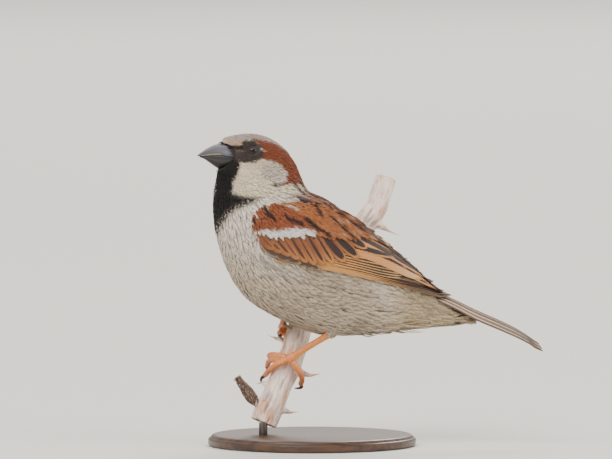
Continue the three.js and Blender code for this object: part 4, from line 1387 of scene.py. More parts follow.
def bed_coat(points):
    """How high the shoulder feathers' bed is over the wing bed: low at the front edge."""
    return 0.12 + BED_COAT * smooth(0.5, 7, front_gap(points))


def bed_drop(points):
    """The nearest point of either wing bed, raised to where the shoulder feathers lie."""
    flip = np.ones_like(points)
    flip[:, 1] = np.where(points[:, 1] > 0, -1.0, 1.0)
    spot, out = nearest(bed_tree, points * flip)
    return (spot + out * bed_coat(spot)[:, None]) * flip


def beside_midline(points):
    """True on the narrow strip where the two wings meet over the lower back."""
    x, y, _ = points.T
    return (x > 8) & (x < 45) & (-y < 6.5 - 4.6 * smooth(14, 42, x))


def shoulder_spacing(points):
    """How far apart the roots are on the shoulder, and 0 off it."""
    return np.where((side_distance(points, SHOULDER_OUTLINE) < 0) | beside_midline(points), 0.50, 0.0)


spots, outs = scatter(bed_surface, bed_faces, shoulder_spacing, seed=12, count=ROOT_TRIES // 2)
shown = (outs @ -INTO > 0.1) | (outs[:, 2] > -0.1) | (outs[:, 0] < -0.35)
spots, outs = spots[shown], outs[shown]
steep = smooth(-4, -16, spots[:, 0])[:, None]
fall = FALL_REAR * (1 - steep) + FALL_FRONT * steep
fall = unit(fall - outs * (fall * outs).sum(1)[:, None])
shoulder_length = 3.0 + 1.6 * smooth(-2, 14, spots[:, 0])
tips = spots + fall * shoulder_length[:, None] * 0.96
ends = side_distance(tips, SHOULDER_OUTLINE) < np.random.default_rng(5).uniform(-0.5, 0.15, len(tips))
ends |= beside_midline(spots)
spots, outs, fall, shoulder_length = (a[ends] for a in (spots, outs, fall, shoulder_length))
spots = spots + outs * bed_coat(spots)[:, None]
rim = smooth(2.2, 0.6, front_gap(spots)) * smooth(80, 83, spots[:, 2])  # the first row starts above the edge
spots = spots - fall * (1.4 * rim)[:, None]
shoulder_length = shoulder_length + 1.0 * rim
shoulder_sizes = (shoulder_length, 1.45 + 0.35 * smooth(-2, 14, spots[:, 0]), 0.42)
for side, sign in SIDES.items():
    places = [a * np.array([1, -sign, 1]) for a in (spots, outs, fall)]
    plant(
        f"{side}_shoulder_feathers", BODY_PATTERNS, places, shoulder_sizes, seed=50, drop=bed_drop,
        colours=shoulder_colours,
    )

# %% [markdown]
# ## The tail
# Twelve long vanes lie in a closed fan. Each pair lies under the pair above it and a little further out, so
# the middle pair covers the rest from above, and from below the outermost pair covers most of the others.
# The fan is a low roof, high in the middle, with a small notch where the outer feathers reach further back.


# %% Tail feathers
def spline(points, shares):
    """Points along a smooth curve through the given points, at shares of its length from 0 to 1."""
    points = np.array(points, float)
    padded = np.vstack([2 * points[0] - points[1], points, 2 * points[-1] - points[-2]])
    fine = []
    for p0, p1, p2, p3 in zip(padded, padded[1:], padded[2:], padded[3:]):
        for t in np.linspace(0, 1, 24, endpoint=False):
            square, cube = 2 * p0 - 5 * p1 + 4 * p2 - p3, 3 * p1 - p0 - 3 * p2 + p3
            fine.append(0.5 * (2 * p1 + (p2 - p0) * t + square * t**2 + cube * t**3))
    fine = np.array(fine + [points[-1]])
    at = np.concatenate([[0], np.cumsum(np.linalg.norm(np.diff(fine, axis=0), axis=1))])
    shares = np.clip(np.asarray(shares, float), 0, 1) * at[-1]
    return np.stack([np.interp(shares, at, fine[:, k]) for k in range(fine.shape[1])], -1)


TAIL_TOP = [(45.0, 56.4), (52.0, 53.6), (60.4, 49.5), (69.3, 45.6), (77.0, 41.8), (84.6, 36.9)]
TAIL_DARK = rgb(84, 66, 54)
TAIL_EDGES = (  # from the outermost, lowest pair to the middle one
    rgb(92, 72, 58), rgb(200, 180, 160), rgb(132, 106, 86), rgb(204, 184, 166), rgb(120, 96, 78),
    rgb(168, 144, 122),
)
TAIL_LENGTH = 42.0
TAIL_STACK = 1.0  # the thickness of the stack of feathers at the root


def by_third(root, middle, tip, v):
    """A width that passes through its values at the root, half way and at the tip of the tail."""
    return root * (1 - v) * (1 - 2 * v) + 4 * middle * v * (1 - v) + tip * v * (2 * v - 1)


PAIRS = len(TAIL_EDGES)
along_tail = 0.02 + 0.98 * VANE_V
top_line = spline(TAIL_TOP, along_tail)
half_tail = by_third(5.0, 6.6, 7.8, along_tail)
vane_width = web_width(VANE_V, 1.0, 1.0, VANE_U, 26, 0.6)
tail = FeatherPlan(seed=9)
for pair in range(PAIRS):  # 0 is the outermost and lowest pair
    rank = pair / (PAIRS - 1)
    middle = by_third(3.7, 5.3, 6.7, along_tail) * (1 - rank) + 1.4 * rank
    across = middle - vane_width * np.where(VANE_U < 0, 0.9, 2.3 * (1 - 0.1 * rank))
    share = np.clip(np.abs(across) / half_tail, 0, 1)
    notch = 2.4 * along_tail * (1 - middle / half_tail)
    roof = by_third(2.4, 3.0, 2.0, along_tail) * share**1.6
    stack = TAIL_STACK * (1 - 0.65 * along_tail) * (1 - rank)
    x = top_line[:, 0] - notch - 0.5 * np.abs(VANE_U) * (VANE_V > 0.9)
    z = top_line[:, 1] - roof - 0.15 - stack + 0.45 * notch
    z += 0.06 * (1 - VANE_U**2) + VANE_SHAFT + THIN * (VANE_TOP - 0.5)
    for sign in SIDES.values():
        points = np.stack([x, sign * across, z - 0.03 * sign * (pair == PAIRS - 1)], 1)
        tail.add(points, TAIL_LENGTH, TAIL_EDGES[pair], TAIL_DARK, 0.84, 0.985, 0.22, vane_width * 2)
finish_piece("tail_feathers", tail.mesh("tail_feathers"), vane_plumage, ("tail",))
print("tail feathers:", tail.count)

# %% [markdown]
# ## The bill
# A sparrow's bill is two stout cones that meet along a kinked cutting edge. Each half is a loft: one ring of
# points on every station from the base to the tip, bridged from ring to ring. The upper half overhangs the
# lower, and a fine groove between them reads as the mouth. Lathe turning would lose the ridge of the culmen.


# %% Lofts and the bill
def loft(rings):
    """A closed solid through rings of points: each ring is bridged to the next, and both ends are capped."""
    bm = bmesh.new()
    loops = [[bm.verts.new(p) for p in ring] for ring in rings]
    hoops = [[bm.edges.new((loop[i - 1], loop[i])) for i in range(len(loop))] for loop in loops]
    for one, two in zip(hoops, hoops[1:]):
        bmesh.ops.bridge_loops(bm, edges=one + two)
    bm.faces.new(loops[0])
    bm.faces.new(loops[-1])
    bmesh.ops.recalc_face_normals(bm, faces=bm.faces)
    bmesh.ops.triangulate(bm, faces=bm.faces)
    return bm


def paint(mesh, colours, alpha=1.0):
    """Writes the colour that a finish reads at each point."""
    store(mesh, "edge", with_alpha(np.asarray(colours), alpha))


def mesh_points(mesh):
    """The places of a mesh's points, as an array."""
    flat = np.empty(len(mesh.vertices) * 3, np.float32)
    mesh.vertices.foreach_get("co", flat)
    return flat.reshape(-1, 3).astype(float)


def tree_of(points, faces):
    """A search tree over a surface that is held as arrays."""
    return BVHTree.FromPolygons(points.tolist(), faces.tolist())


BILL = [  # x, ridge, cutting edge, keel and half width at each station
    (-27.4, 109.0, 105.3, 102.6, 4.4), (-29.4, 109.9, 105.7, 102.0, 4.5),
    (-31.4, 110.4, 106.15, 101.5, 4.35), (-34.2, 110.35, 106.45, 101.4, 3.8),
    (-36.6, 109.55, 106.35, 102.9, 3.0), (-38.9, 108.3, 106.15, 104.5, 2.0),
    (-40.7, 107.05, 105.95, 105.25, 1.05), (-41.85, 106.15, 105.8, 105.5, 0.35),
]
BILL_AROUND, BILL_RINGS = 40, 44
MOUTH_GAP = 0.05
stations = spline(BILL, 1 - (1 - np.linspace(0, 1, BILL_RINGS)) ** 1.15)
turns = np.linspace(0, math.pi, BILL_AROUND // 2 + 1)
SIDE, RISE = np.cos(turns), np.sin(turns)  # how far to the side, and how far up, the ring's points lie


def bill_ring(x, outer_y, outer_z, inner_y, inner_z):
    """A closed ring across the bill: its outer side, and back along the side that faces the other half."""
    outer = np.stack([np.full_like(SIDE, x), outer_y, outer_z], 1)
    inner = np.stack([np.full_like(SIDE, x), inner_y, inner_z], 1)
    return np.vstack([outer, inner[1:-1][::-1]])


upper_rings, lower_rings = [], []
for x, ridge, cut, keel, half in stations:
    flank = half * SIDE * (0.86 + 0.14 * np.abs(SIDE)) * (1 - 0.10 * RISE**3)
    palate = cut + MOUTH_GAP - 0.10 * np.abs(SIDE) ** 4
    upper_rings.append(bill_ring(x, flank, cut + (ridge - cut) * RISE**0.92, half * 0.93 * SIDE, palate))
for x, ridge, cut, keel, half in stations[: int(BILL_RINGS * 0.97)]:
    half *= 0.93
    below = cut - MOUTH_GAP - (cut - keel) * RISE**0.85
    mouth_floor = np.full_like(SIDE, cut - MOUTH_GAP - 0.04)
    x += 0.5 * smooth(-38, -42, x)
    lower_rings.append(bill_ring(x, half * SIDE, below, half * 0.9 * SIDE, mouth_floor))

# The paler top, the lighter lower side, the groove colour and the shade colour are painted sheen, highlight
# and shade; the rest are the horn's own colours.
HORN_RIDGE_SHEEN, HORN_SIDE, HORN_EDGE = rgb(128, 124, 136), rgb(82, 80, 88), rgb(190, 172, 128)
HORN_GAPE, HORN_LOW, HORN_LOW_HIGHLIGHT = rgb(88, 92, 102), rgb(22, 21, 22), rgb(66, 63, 63)
HORN_GROOVE_SHADE, HORN_SHADE = rgb(72, 70, 80), rgb(36, 34, 36)


def horn_material():
    """Satin horn with fine streaks along the bill."""
    n = Nodes("horn")
    grain = n.noise(1500.0, 4.0)
    streak = n.noise(1.0, 4.0, vector=n.place((260.0, 2600.0, 2600.0)))
    n.bump(n.plus(streak, grain), 0.03 * MM, 0.5)
    colour = n.tinted(n.attribute("edge")["Color"], n.times(streak, 0.5, plus=0.75))
    return n.set(Base_Color=colour, Roughness=n.times(grain, 0.2, plus=0.36), Specular_IOR_Level=0.32)


def bill_paint(points, upper):
    """The horn's colour at each point of the bill's upper or lower half, with painted sheen, highlight and
    shade.
    """
    x, _, z = points.T
    ridge, cut, keel = (np.interp(x, stations[::-1, 0], stations[::-1, k]) for k in (1, 2, 3))
    if upper:
        rise = np.clip((z - cut) / (ridge - cut + 1e-6), 0, 1)
        # The upper half is painted paler and bluer towards its ridge: a painted sheen of the sky on the dark
        # horn.
        colour = lay(np.tile(HORN_SIDE, (len(points), 1)), HORN_RIDGE_SHEEN, smooth(0.45, 1.0, rise))
        # Just above the cutting edge near the base the horn is painted darker: painted shade in the groove.
        colour = lay(colour, HORN_GROOVE_SHADE, smooth(0.30, 0.14, rise) * smooth(-30, -33, x) * 0.5)
        edge = smooth(0.105, 0.05, rise) * smooth(-40.8, -40.0, x) * smooth(-32.4, -34.0, x)
        colour = lay(colour, HORN_EDGE, edge * 0.7)
        curl = np.exp(-(((x + 31.2) / 1.3) ** 2)) * smooth(0.32, 0.18, np.abs(rise - 0.12))
        colour = lay(colour, HORN_GAPE * 1.5, curl * 0.6)
        return lay(colour, HORN_SHADE, smooth(-31.0, -28.5, x) * smooth(0.5, 0.2, rise) * 0.6)
    drop = np.clip((cut - z) / (cut - keel + 1e-6), 0, 1)
    # A band along the middle of the lower half's side is painted lighter: a painted highlight on the dark
    # horn.
    painted_shine = np.exp(-(((drop - 0.42) / 0.2) ** 2))
    colour = lay(np.tile(HORN_LOW, (len(points), 1)), HORN_LOW_HIGHLIGHT, painted_shine * 0.8)
    return lay(colour, HORN_GAPE, smooth(0.12, 0.03, drop) * smooth(-40, -38.5, x) * 0.5)


horn = horn_material()
for half, rings in (("upper", upper_rings), ("lower", lower_rings)):
    mesh = mesh_of(loft(rings), f"bill_{half}_horn")
    paint(mesh, bill_paint(mesh_points(mesh), half == "upper"))
    finish_piece(f"bill_{half}_horn", mesh, horn, (f"bill_{half}",))

# %% The join of face and bill
# Where the face meets the bill, tiny feathers grow on the horn itself and hide the join.
horn_surface, horn_faces = arrays_of(loft(upper_rings))
low_surface, low_faces = arrays_of(loft(lower_rings))
horn_faces = np.vstack([horn_faces, low_faces + len(horn_surface)])
horn_surface = np.vstack([horn_surface, low_surface])
horn_tree = tree_of(horn_surface, horn_faces)
FACE_MIDDLE = np.array([-26.0, 0.0, 106.0])


def horn_spacing(points):
    """How far apart the roots are on the horn, and 0 in front of the feathers' edge."""
    edge = feather_edge(points)
    return np.where((points[:, 0] > edge + 0.1) & (points[:, 0] < edge + 4.0), 0.40, 0.0)


def horn_drop(points):
    """The bill's or the skin's nearest point, whichever stands out further from the face's middle."""
    horn, skin = nearest(horn_tree, points)[0], nearest(skin_tree, points)[0]
    outer = np.linalg.norm(horn - FACE_MIDDLE, axis=1) >= np.linalg.norm(skin - FACE_MIDDLE, axis=1)
    return np.where(outer[:, None], horn, skin)


spots, outs = scatter(horn_surface, horn_faces, horn_spacing, seed=15, count=ROOT_TRIES // 4)
shown = ((spots - [-30, 0, 106.0]) * outs * [0, 1, 1]).sum(1) > 0.5
spots, outs = spots[shown], outs[shown]
places = (spots, outs, lie(spots, outs))
plant("bill_base_feathers", FACE_PATTERNS, places, (1.5, 0.62, 0.22), seed=41, drop=horn_drop)

# %% [markdown]
# ## The eyes
# Each eye is a whole, wet ball set deep in the head, dark brown with a black pupil. The lids are a sheet
# that hugs the ball, with a thick rim round an almond opening that is flatter above. Most of the ball is
# hidden, as on the real bird, so the catchlight and the shadow under the upper lid fall where they should.

# %% Eyeballs and lids
OPENING = (1.72, 1.05, 1.20)  # half width, and heights above and below the middle
LID_RIM, LID_REACH = 0.08, 2.2
PUPIL, IRIS = (0.001, 0.001, 0.001), rgb(20, 13, 10)
LID_DARK, LID_PALE = rgb(60, 54, 52), rgb(104, 96, 92)


def eye_material():
    """A wet, dark brown eye with a round black pupil on its outer side."""
    n = Nodes("wet_eye")
    local = n.split(n.place())
    off_x, off_z = n.minus(local["X"], EYE.x * MM), n.minus(local["Z"], EYE.z * MM)
    radius = n.math("SQRT", n.times(off_x, off_x, plus=n.times(off_z, off_z)))
    iris = n.mix(n.step(0.90 * MM, 1.05 * MM, radius), PUPIL, IRIS)
    return n.set(Base_Color=iris, Roughness=0.04, Specular_IOR_Level=0.42)


def lid_material():
    """The bare, wrinkled rim of the lids."""
    n = Nodes("lid_skin")
    grain = n.noise(2600.0, 4.0)
    n.bump(grain, 0.05 * MM)
    return n.set(Base_Color=n.mix(grain, LID_DARK, LID_PALE), Roughness=0.7, Specular_IOR_Level=0.2)


def lid_curve(share, turn):
    """Places round the opening, in the eye's own plane, from its rim (share 0) to the lid's edge (1)."""
    a, c = np.cos(turn), np.sin(turn)
    up = np.where(c > 0, OPENING[1], OPENING[2])
    inner = np.stack([OPENING[0] * a, up * np.sign(c) * np.abs(c) ** 0.85 + 0.12 * a], -1)
    outer = np.stack([LID_REACH * 0.98 * a, LID_REACH * 0.9 * c], -1)
    return inner + (outer - inner) * share


def on_ball(plane, radius, sign):
    """Points of the eye's plane moved out onto a ball round its middle."""
    depth = np.sqrt(np.clip(radius**2 - (plane**2).sum(-1), 0.05, None))
    return np.stack([EYE.x + plane[..., 0], sign * (EYE.y + depth), EYE.z + plane[..., 1]], -1)


def hoop(bm, sections):
    """Adds a closed tube that runs round a loop, through one cross-section after another."""
    loops = [[bm.verts.new(p) for p in section] for section in sections]
    for one, two in zip(loops, loops[1:] + loops[:1]):
        for i in range(len(one)):
            bm.faces.new((one[i - 1], one[i], two[i], two[i - 1]))


# Each section of the lids is a list of (place from the rim outwards, distance from the ball's middle).
RIM_SECTION = [
    (0.03 + LID_RIM * 0.55 * math.cos(step), EYE_R + 0.05 + LID_RIM * math.sin(step))
    for step in round_turns(10)
]
SHEET_LIFTS = ((0.05, 0.03), (0.35, 0.05), (0.7, 0.03), (1.0, -0.1), (1.0, -0.4), (0.5, -0.25))
SHEET_SECTION = [(share, EYE_R + lift) for share, lift in SHEET_LIFTS]
wet_eye, lid_skin = eye_material(), lid_material()
for side, sign in SIDES.items():
    ball = bmesh.new()
    middle = Matrix.Translation((EYE.x, sign * EYE.y, EYE.z))
    bmesh.ops.create_icosphere(ball, subdivisions=5, radius=EYE_R, matrix=middle)
    finish_piece(f"{side}_eyeball", ball, wet_eye, (f"{side}_eye",))
    lids = bmesh.new()
    for section in (RIM_SECTION, SHEET_SECTION):
        turns = round_turns(72)
        hoop(lids, [[on_ball(lid_curve(share, turn), far, sign) for share, far in section] for turn in turns])
    bmesh.ops.recalc_face_normals(lids, faces=lids.faces)
    bmesh.ops.triangulate(lids, faces=lids.faces)
    finish_piece(f"{side}_eyelids", lids, lid_skin)

# %% The feathers of the lids
# The lids carry the smallest feathers of all, in rings that leave only the rim bare.
LID_COAT = EYE_R + 0.10
lid_roots, lid_normals, lid_ways = [], [], []
for sign in SIDES.values():
    middle = np.array([EYE.x, sign * EYE.y, EYE.z])
    for ring, share in enumerate((0.34, 0.56, 0.80)):
        for turn in round_turns(30 + 5 * ring) + 0.1 * ring:
            place = on_ball(lid_curve(share, turn), LID_COAT, sign)
            out = unit(place - middle)
            away = np.array([0.6 * math.cos(turn) + 0.55, 0.0, 0.6 * math.sin(turn) - 0.12])
            lid_roots.append(place)
            lid_normals.append(out)
            lid_ways.append(unit(away - out * (away @ out)))


def lid_drop(points):
    """The nearest point of the eyeballs, raised to where the lids' feathers lie."""
    middle = np.tile(np.array(EYE), (len(points), 1))
    middle[:, 1] *= np.sign(points[:, 1])
    return middle + unit(points - middle) * LID_COAT


places = (np.array(lid_roots), np.array(lid_normals), np.array(lid_ways))
plant("eyelid_feathers", FACE_PATTERNS, places, (0.85, 0.46, 0.14), seed=40, drop=lid_drop)

# %% [markdown]
# ## Legs and feet
# Each foot is the tarsus and its four toes welded by a fine voxel remesh, as the skin was, so the toes grow
# out of the pad with no joint. The scutes, the plates along the front of the leg and the top of each toe,
# are bands of the distance from the pad. They are raised a little in the mesh, and the finish sharpens them.

# %% Feet and claws
FOOT_VOXEL, SCUTE = 0.16, 1.15
PADS = {"left": Vector((-8.7, -5.0, 31.6)), "right": Vector((-9.6, 13.7, 40.5))}
HEELS = {"left": Vector((7.0, -8.0, 41.6)), "right": Vector((5.5, 14.5, 47.6))}
LEG_PINK, LEG_ORANGE, LEG_YELLOW = rgb(224, 142, 88), rgb(216, 126, 54), rgb(230, 168, 52)
LEG_DARK, TOE_TIP = rgb(132, 72, 44), rgb(176, 104, 80)
CLAW_DARK, CLAW_PALE = rgb(52, 38, 30), rgb(150, 112, 76)
THIGH_WAY = Vector((4.0, 0.6, 4.4)).normalized()
DIGITS = (1, 2, 3, 4)


def leg_material():
    """Scaled skin, with a dark groove between one scute and the next."""
    n = Nodes("scaled_leg")
    stored = n.attribute("edge")
    groove = n.step(-0.72, -0.97, n.math("SINE", n.times(stored["Alpha"], 2 * math.pi)))
    kind = {"feature": "DISTANCE_TO_EDGE"}
    scales = n.add("ShaderNodeTexVoronoi", _set=kind, Vector=n.place(), Scale=2600.0)
    relief = n.times(n.step(0.0, 0.12, scales), 0.35)
    n.bump(n.times(groove, -1.0, plus=relief), 0.07 * MM, 0.7)
    mottled = n.tinted(stored["Color"], n.times(n.noise(900.0, 4.0), 0.5, plus=0.75))
    return n.set(
        Base_Color=n.mix(n.times(groove, 0.30), mottled, LEG_DARK), Roughness=0.48, Coat_Weight=0.08,
        Subsurface_Weight=0.15, Subsurface_Scale=0.0006,
    )


def claw_material():
    """Smooth dark horn."""
    n = Nodes("claw_horn")
    return n.set(Base_Color=n.attribute("edge")["Color"], Roughness=0.32, Coat_Weight=0.2)


def foot_skin(foot, pad, heel):
    """Raises the scutes of a welded foot, and gives each point its colour and its place in the bands."""
    shin = (heel - pad).normalized()
    front = (Vector((-1, 0, 0)) - shin * Vector((-1, 0, 0)).dot(shin)).normalized()
    bands, colours = [], []
    for vert in foot.verts:
        away = vert.co - pad
        height = away.dot(shin)
        on_leg = float(smooth(1.5, 3.5, height))
        radial = away - shin * height
        facing = radial.normalized().dot(front) if radial.length > 0.01 else 0.0
        leg_top, toe_top = smooth(-0.45, 0.15, facing), smooth(-0.1, 0.5, vert.normal.dot(shin) + 0.35)
        top = float(leg_top) * on_leg + (1 - on_leg) * float(toe_top)
        band = (height if on_leg > 0.5 else away.length) / SCUTE
        bands.append(band if top > 0.3 else round(band))
        scute = 0.02 * math.sin(2 * math.pi * band) * top
        vert.co += vert.normal * (scute - 0.14 + 0.10 * float(smooth(2.6, 4.2, away.length)) * (1 - on_leg))
        colour = blend(LEG_PINK, LEG_ORANGE, 0.5 + 0.4 * noise.noise(vert.co * 0.5))
        colour = blend(colour, LEG_YELLOW, float(smooth(0.1, 0.7, -facing)) * on_leg * 0.8)
        colours.append(blend(colour, TOE_TIP, float(smooth(5.0, 9.0, away.length)) * (1 - on_leg) * 0.6))
    return colours, np.array(bands)


scaled_leg, claw_horn = leg_material(), claw_material()
for side in SIDES:
    toes = [f"{side}_toe_{n}" for n in DIGITS]
    foot = cad_copy(f"{side}_tarsus", *toes)
    foot.normal_update()
    pad, heel = PADS[side], HEELS[side]
    # A short, thick stub carries the leg up into the belly's feathers.
    turned_up = THIGH_WAY.to_track_quat("Z", "Y").to_matrix().to_4x4()
    bmesh.ops.create_cone(
        foot, cap_ends=True, segments=20, radius1=1.05, radius2=1.2, depth=3.6,
        matrix=Matrix.Translation(heel + THIGH_WAY * 1.2) @ turned_up,
    )
    for vert in foot.verts:
        vert.co += vert.normal * (0.22 - 0.14 * float(smooth(2.6, 4.2, (vert.co - pad).length)))
    foot = welded(foot, FOOT_VOXEL, 6)
    colours, bands = foot_skin(foot, pad, heel)
    mesh = mesh_of(foot, f"{side}_foot")
    paint(mesh, colours, bands)
    finish_piece(f"{side}_foot", mesh, scaled_leg, (f"{side}_tarsus", *toes))
    for number in DIGITS:
        claw = with_modifier(cad_copy(f"{side}_claw_{number}"), "SUBSURF", levels=2, render_levels=2)
        claw.normal_update()
        swell(claw, 0.12)
        name = f"{side}_claw_horn_{number}"
        mesh = mesh_of(claw, name)
        reach = np.linalg.norm(mesh_points(mesh) - np.array(pad), axis=1)
        reach = (reach - reach.min()) / np.ptp(reach)
        paint(mesh, lay(np.tile(CLAW_DARK, (len(reach), 1)), CLAW_PALE, smooth(0.55, 1.0, reach) * 0.8))
        finish_piece(name, mesh, claw_horn, (f"{side}_claw_{number}",))

# %% Leg cuffs
# A cuff of belly feathers hides the top of each leg.
across_leg = THIGH_WAY.orthogonal().normalized()
for side in SIDES:
    cuff = []
    for ring in range(4):
        for turn in round_turns(16) + 0.2 * ring:
            out = Matrix.Rotation(turn, 3, THIGH_WAY) @ across_leg
            root = HEELS[side] + THIGH_WAY * (3.6 - 0.7 * ring) + out * (2.0 - 0.2 * ring)
            cuff.append((*root, *out, *(-THIGH_WAY)))
    places = np.split(np.array(cuff), 3, axis=1)
    name = f"{side}_leg_cuff_feathers"
    plant(name, BODY_PATTERNS, places, (3.0, 1.5, 0.15), seed=45, drop=lambda points: points)

# %% [markdown]
# ## The bramble stem
# Old bramble bark is grey-pink and dry, with long fissures, orange-brown patches and hooked thorns with tan
# tips. The stem is remeshed finely and its surface pushed in and out by noise that is stretched along the
# stem. The noise is read from the stem's own place along and around, so it has no seam and needs no image.

# %% Stem and bud
STEM_LINE = [
    (-17.8, -2.3, 8.4), (-14.2, -1.0, 17.0), (-10.4, 1.0, 26.0), (-6.8, 4.4, 35.0), (-4.6, 9.6, 42.6),
    (-2.4, 17.0, 49.6), (1.6, 24.6, 56.8), (8.4, 30.6, 65.4), (16.8, 35.4, 75.6), (24.0, 39.0, 85.6),
    (27.4, 41.6, 96.0),
]
BUD_LINE = [(-18.2, -1.9, 13.6), (-20.8, -2.6, 16.0), (-23.4, -3.0, 19.6), (-26.6, -3.2, 24.2)]
STEM_VOXEL = 0.34
BARK_PALE, BARK_GREY, BARK_PATCH = rgb(253, 232, 220), rgb(218, 196, 186), rgb(224, 170, 128)
BARK_CREVICE, THORN_FOOT, THORN_TIP = rgb(84, 66, 60), rgb(150, 110, 84), rgb(206, 170, 112)
CUT_WOOD, SCALE_DARK, SCALE_PALE = rgb(196, 164, 120), rgb(92, 74, 66), rgb(168, 140, 120)


def bark_material():
    """Dry bark: long fibres, fine specks and broken cracks, read along and round the stem."""
    n = Nodes("bramble_bark")
    place = n.attribute("bark")["Vector"]
    fibre = n.noise(3.4, 8.0, 0.68, vector=place)
    speck = n.noise(2200.0, 5.0, 0.7)
    weave = n.noise(1.7, 4.0, 0.6, vector=place)
    broken = n.step(0.50, 0.62, n.noise(2.6, 3.0, 0.6, vector=place))
    crack = n.times(n.step(0.020, 0.0, n.math("ABSOLUTE", n.minus(weave, 0.5))), broken)
    n.bump(n.times(crack, -0.8, plus=n.times(speck, 0.3, plus=fibre)), 0.22 * MM, 0.8)
    tone = n.times(n.step(0.32, 0.56, fibre), 0.40, plus=n.times(speck, 0.80, plus=0.31))
    colour = n.mix(n.times(crack, 0.6), n.tinted(n.attribute("edge")["Color"], tone), BARK_CREVICE)
    return n.set(Base_Color=colour, Roughness=0.85, Specular_IOR_Level=0.3)


bramble_bark = bark_material()


def bark_piece(name, source, line, radius, voxel):
    """A copy of a stem solid with bark relief and bark colours, placed along and round a line."""
    bm = welded(cad_copy(source), voxel, 2)
    points, normals = points_of(bm), np.array([v.normal[:] for v in bm.verts])
    shares = np.linspace(0, 1, 400)
    middle = spline(line, shares)
    length = np.linalg.norm(np.diff(middle, axis=0), axis=1).sum()
    closest = np.array([int(((middle - p) ** 2).sum(1).argmin()) for p in points])
    way = unit(np.gradient(middle, axis=0))
    off = points - middle[closest]
    near = unit(np.array([0.0, -1.0, 0.0]) + way * way[:, 1:2])
    a, b = (off * near[closest]).sum(1), (off * np.cross(way, near)[closest]).sum(1)
    turn, out, along = np.arctan2(b, a), np.hypot(a, b), shares[closest] * length
    thorn = smooth(radius * 1.18, radius * 1.5, out)
    end_face = smooth(3.5, 1.0, np.minimum(along, length - along)) * smooth(radius, radius * 0.9, out)
    cut = np.abs((normals * way[closest]).sum(1)) * end_face
    ring = np.stack([np.cos(turn), np.sin(turn)], 1)

    def bark_noise(size, stretch, seed):
        """Smooth random values that are stretched along the stem."""
        return soft_noise(np.column_stack([ring * radius, along / stretch]), size, seed)

    fissure = smooth(0.42, 0.85, bark_noise(1.1, 5.0, 11)) * (1 - thorn)
    ridges = bark_noise(1.3, 5.0, 12)
    lumps = bark_noise(7.0, 1.5, 13)
    push = (0.16 * ridges + 0.16 * lumps - 0.34 * fissure) * (1 - thorn) * (cut <= 0.5) - 0.02
    for vert, amount in zip(bm.verts, push):
        vert.co += vert.normal * float(amount)
    colour = lay(np.tile(BARK_PALE, (len(points), 1)), BARK_GREY, smooth(-0.5, 0.9, lumps + 0.6 * ridges))
    colour = lay(colour, BARK_PATCH, smooth(0.35, 0.8, bark_noise(2.0, 3.6, 14)) * 0.8)
    colour = lay(colour, BARK_CREVICE, fissure * 0.45)
    colour = lay(colour, THORN_TIP, smooth(radius * 1.5, radius * 2.3, out))
    colour = lay(colour, THORN_FOOT, thorn * smooth(radius * 2.0, radius * 1.5, out) * 0.5)
    colour = lay(colour, CUT_WOOD, cut)
    mesh = mesh_of(bm, name)
    paint(mesh, colour)
    spot = np.concatenate([ring * radius * 0.55, along[:, None] * 0.075], 1) + thorn[:, None] * points * 0.3
    store(mesh, "bark", spot, "FLOAT_VECTOR", "vector")
    return finish_piece(name, mesh, bramble_bark, (source,))


bark_piece("bramble_stem", "perch_stem", STEM_LINE, 4.9, STEM_VOXEL)
bud = bark_piece("bramble_bud", "perch_bud", BUD_LINE, 1.3, 0.2)
bud_points = mesh_points(bud.data) / MM
bud_faces = np.array([t.vertices[:] for t in bud.data.loop_triangles])
bud_tree = tree_of(bud_points, bud_faces)
bud_spots, bud_outs = scatter(bud_points, bud_faces, lambda p: np.full(len(p), 0.42), seed=16, count=12000)
BUD_WAY = np.array([-3.0, -0.3, 4.6])
bud_ways = unit(BUD_WAY - bud_outs * (bud_outs @ BUD_WAY)[:, None] * 0.85)


def bud_colours(points, seed):
    """Dry browns for the bud's scales."""
    share = np.random.default_rng(seed).random(len(points))
    colour = lay(np.tile(SCALE_DARK, (len(points), 1)), SCALE_PALE, share**2)
    return with_alpha(colour, 0.9), with_alpha(colour * 0.6, 0.3)


plant(
    "bud_scales", BODY_PATTERNS, (bud_spots, bud_outs, bud_ways), (1.9, 0.9, 0.3), seed=60,
    drop=lambda points: nearest(bud_tree, points)[0], colours=bud_colours,
)

# %% [markdown]
# ## The display stand
# A plain turned base and a steel rod hold the cut stem. Both are made on a lathe in life, so `spin` turns a
# profile about the upright axis. Soft edges catch a thin line of light, which tells the eye their size.

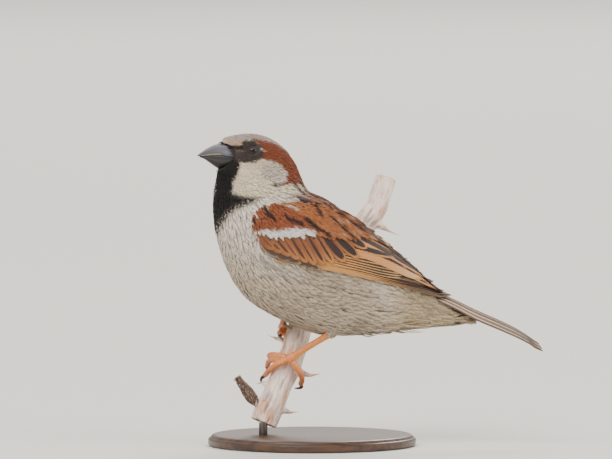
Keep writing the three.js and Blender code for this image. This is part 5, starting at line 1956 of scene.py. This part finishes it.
# %% Turned base and rod
BASE_PROFILE = [
    (0.0, 0.0), (36.9, 0.0), (37.5, 0.25), (37.9, 0.7), (38.0, 1.2), (38.0, 2.4), (37.6, 2.9),
    (37.1, 3.2), (36.9, 3.5), (36.5, 3.95), (35.8, 4.2), (20.0, 4.2), (0.0, 4.2),
]
WOOD_DARK, WOOD_LIGHT, STEEL_GREY = rgb(52, 34, 24), rgb(84, 56, 38), rgb(176, 176, 178)
ROD_PROFILE = [(0.0, 1.2), (1.6, 1.2), (1.6, 13.9), (1.3, 14.4), (0.0, 14.4)]


def turned(profile, steps, middle=(0, 0)):
    """A solid of revolution about the upright axis."""
    bm = bmesh.new()
    line = [bm.verts.new((r, 0, z)) for r, z in profile]
    edges = [bm.edges.new(pair) for pair in zip(line, line[1:])]
    bmesh.ops.spin(
        bm, geom=line + edges, axis=(0, 0, 1), cent=(0, 0, 0), angle=2 * math.pi, steps=steps, use_merge=True
    )
    bmesh.ops.remove_doubles(bm, verts=bm.verts, dist=1e-4)
    bmesh.ops.recalc_face_normals(bm, faces=bm.faces)
    bmesh.ops.translate(bm, verts=bm.verts, vec=(*middle, 0))
    return bm


n = Nodes("stained_wood")
rings = n.noise(1.0, 5.0, 0.6, vector=n.place((30.0, 420.0, 420.0)))
n.bump(rings, 0.06 * MM, 0.3)
stained_wood = n.set(
    Base_Color=n.mix(n.step(0.35, 0.65, rings), WOOD_DARK, WOOD_LIGHT), Roughness=0.42, Coat_Weight=0.25,
    Coat_Roughness=0.25,
)
n = Nodes("plain_steel")
plain_steel = n.set(Base_Color=STEEL_GREY, Metallic=1.0, Roughness=n.times(n.noise(1200.0), 0.12, plus=0.28))
base = turned(BASE_PROFILE, 160)
finish_piece("stand_turned_base", base, stained_wood, ("stand_base",), smooth=False)
rod_solid = mesh_points(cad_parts["stand_rod"].data) / MM
rod_x, rod_y, _ = (rod_solid.min(0) + rod_solid.max(0)) / 2
rod = turned(ROD_PROFILE, 40, (rod_x, rod_y))
finish_piece("stand_steel_rod", rod, plain_steel, ("stand_rod",))
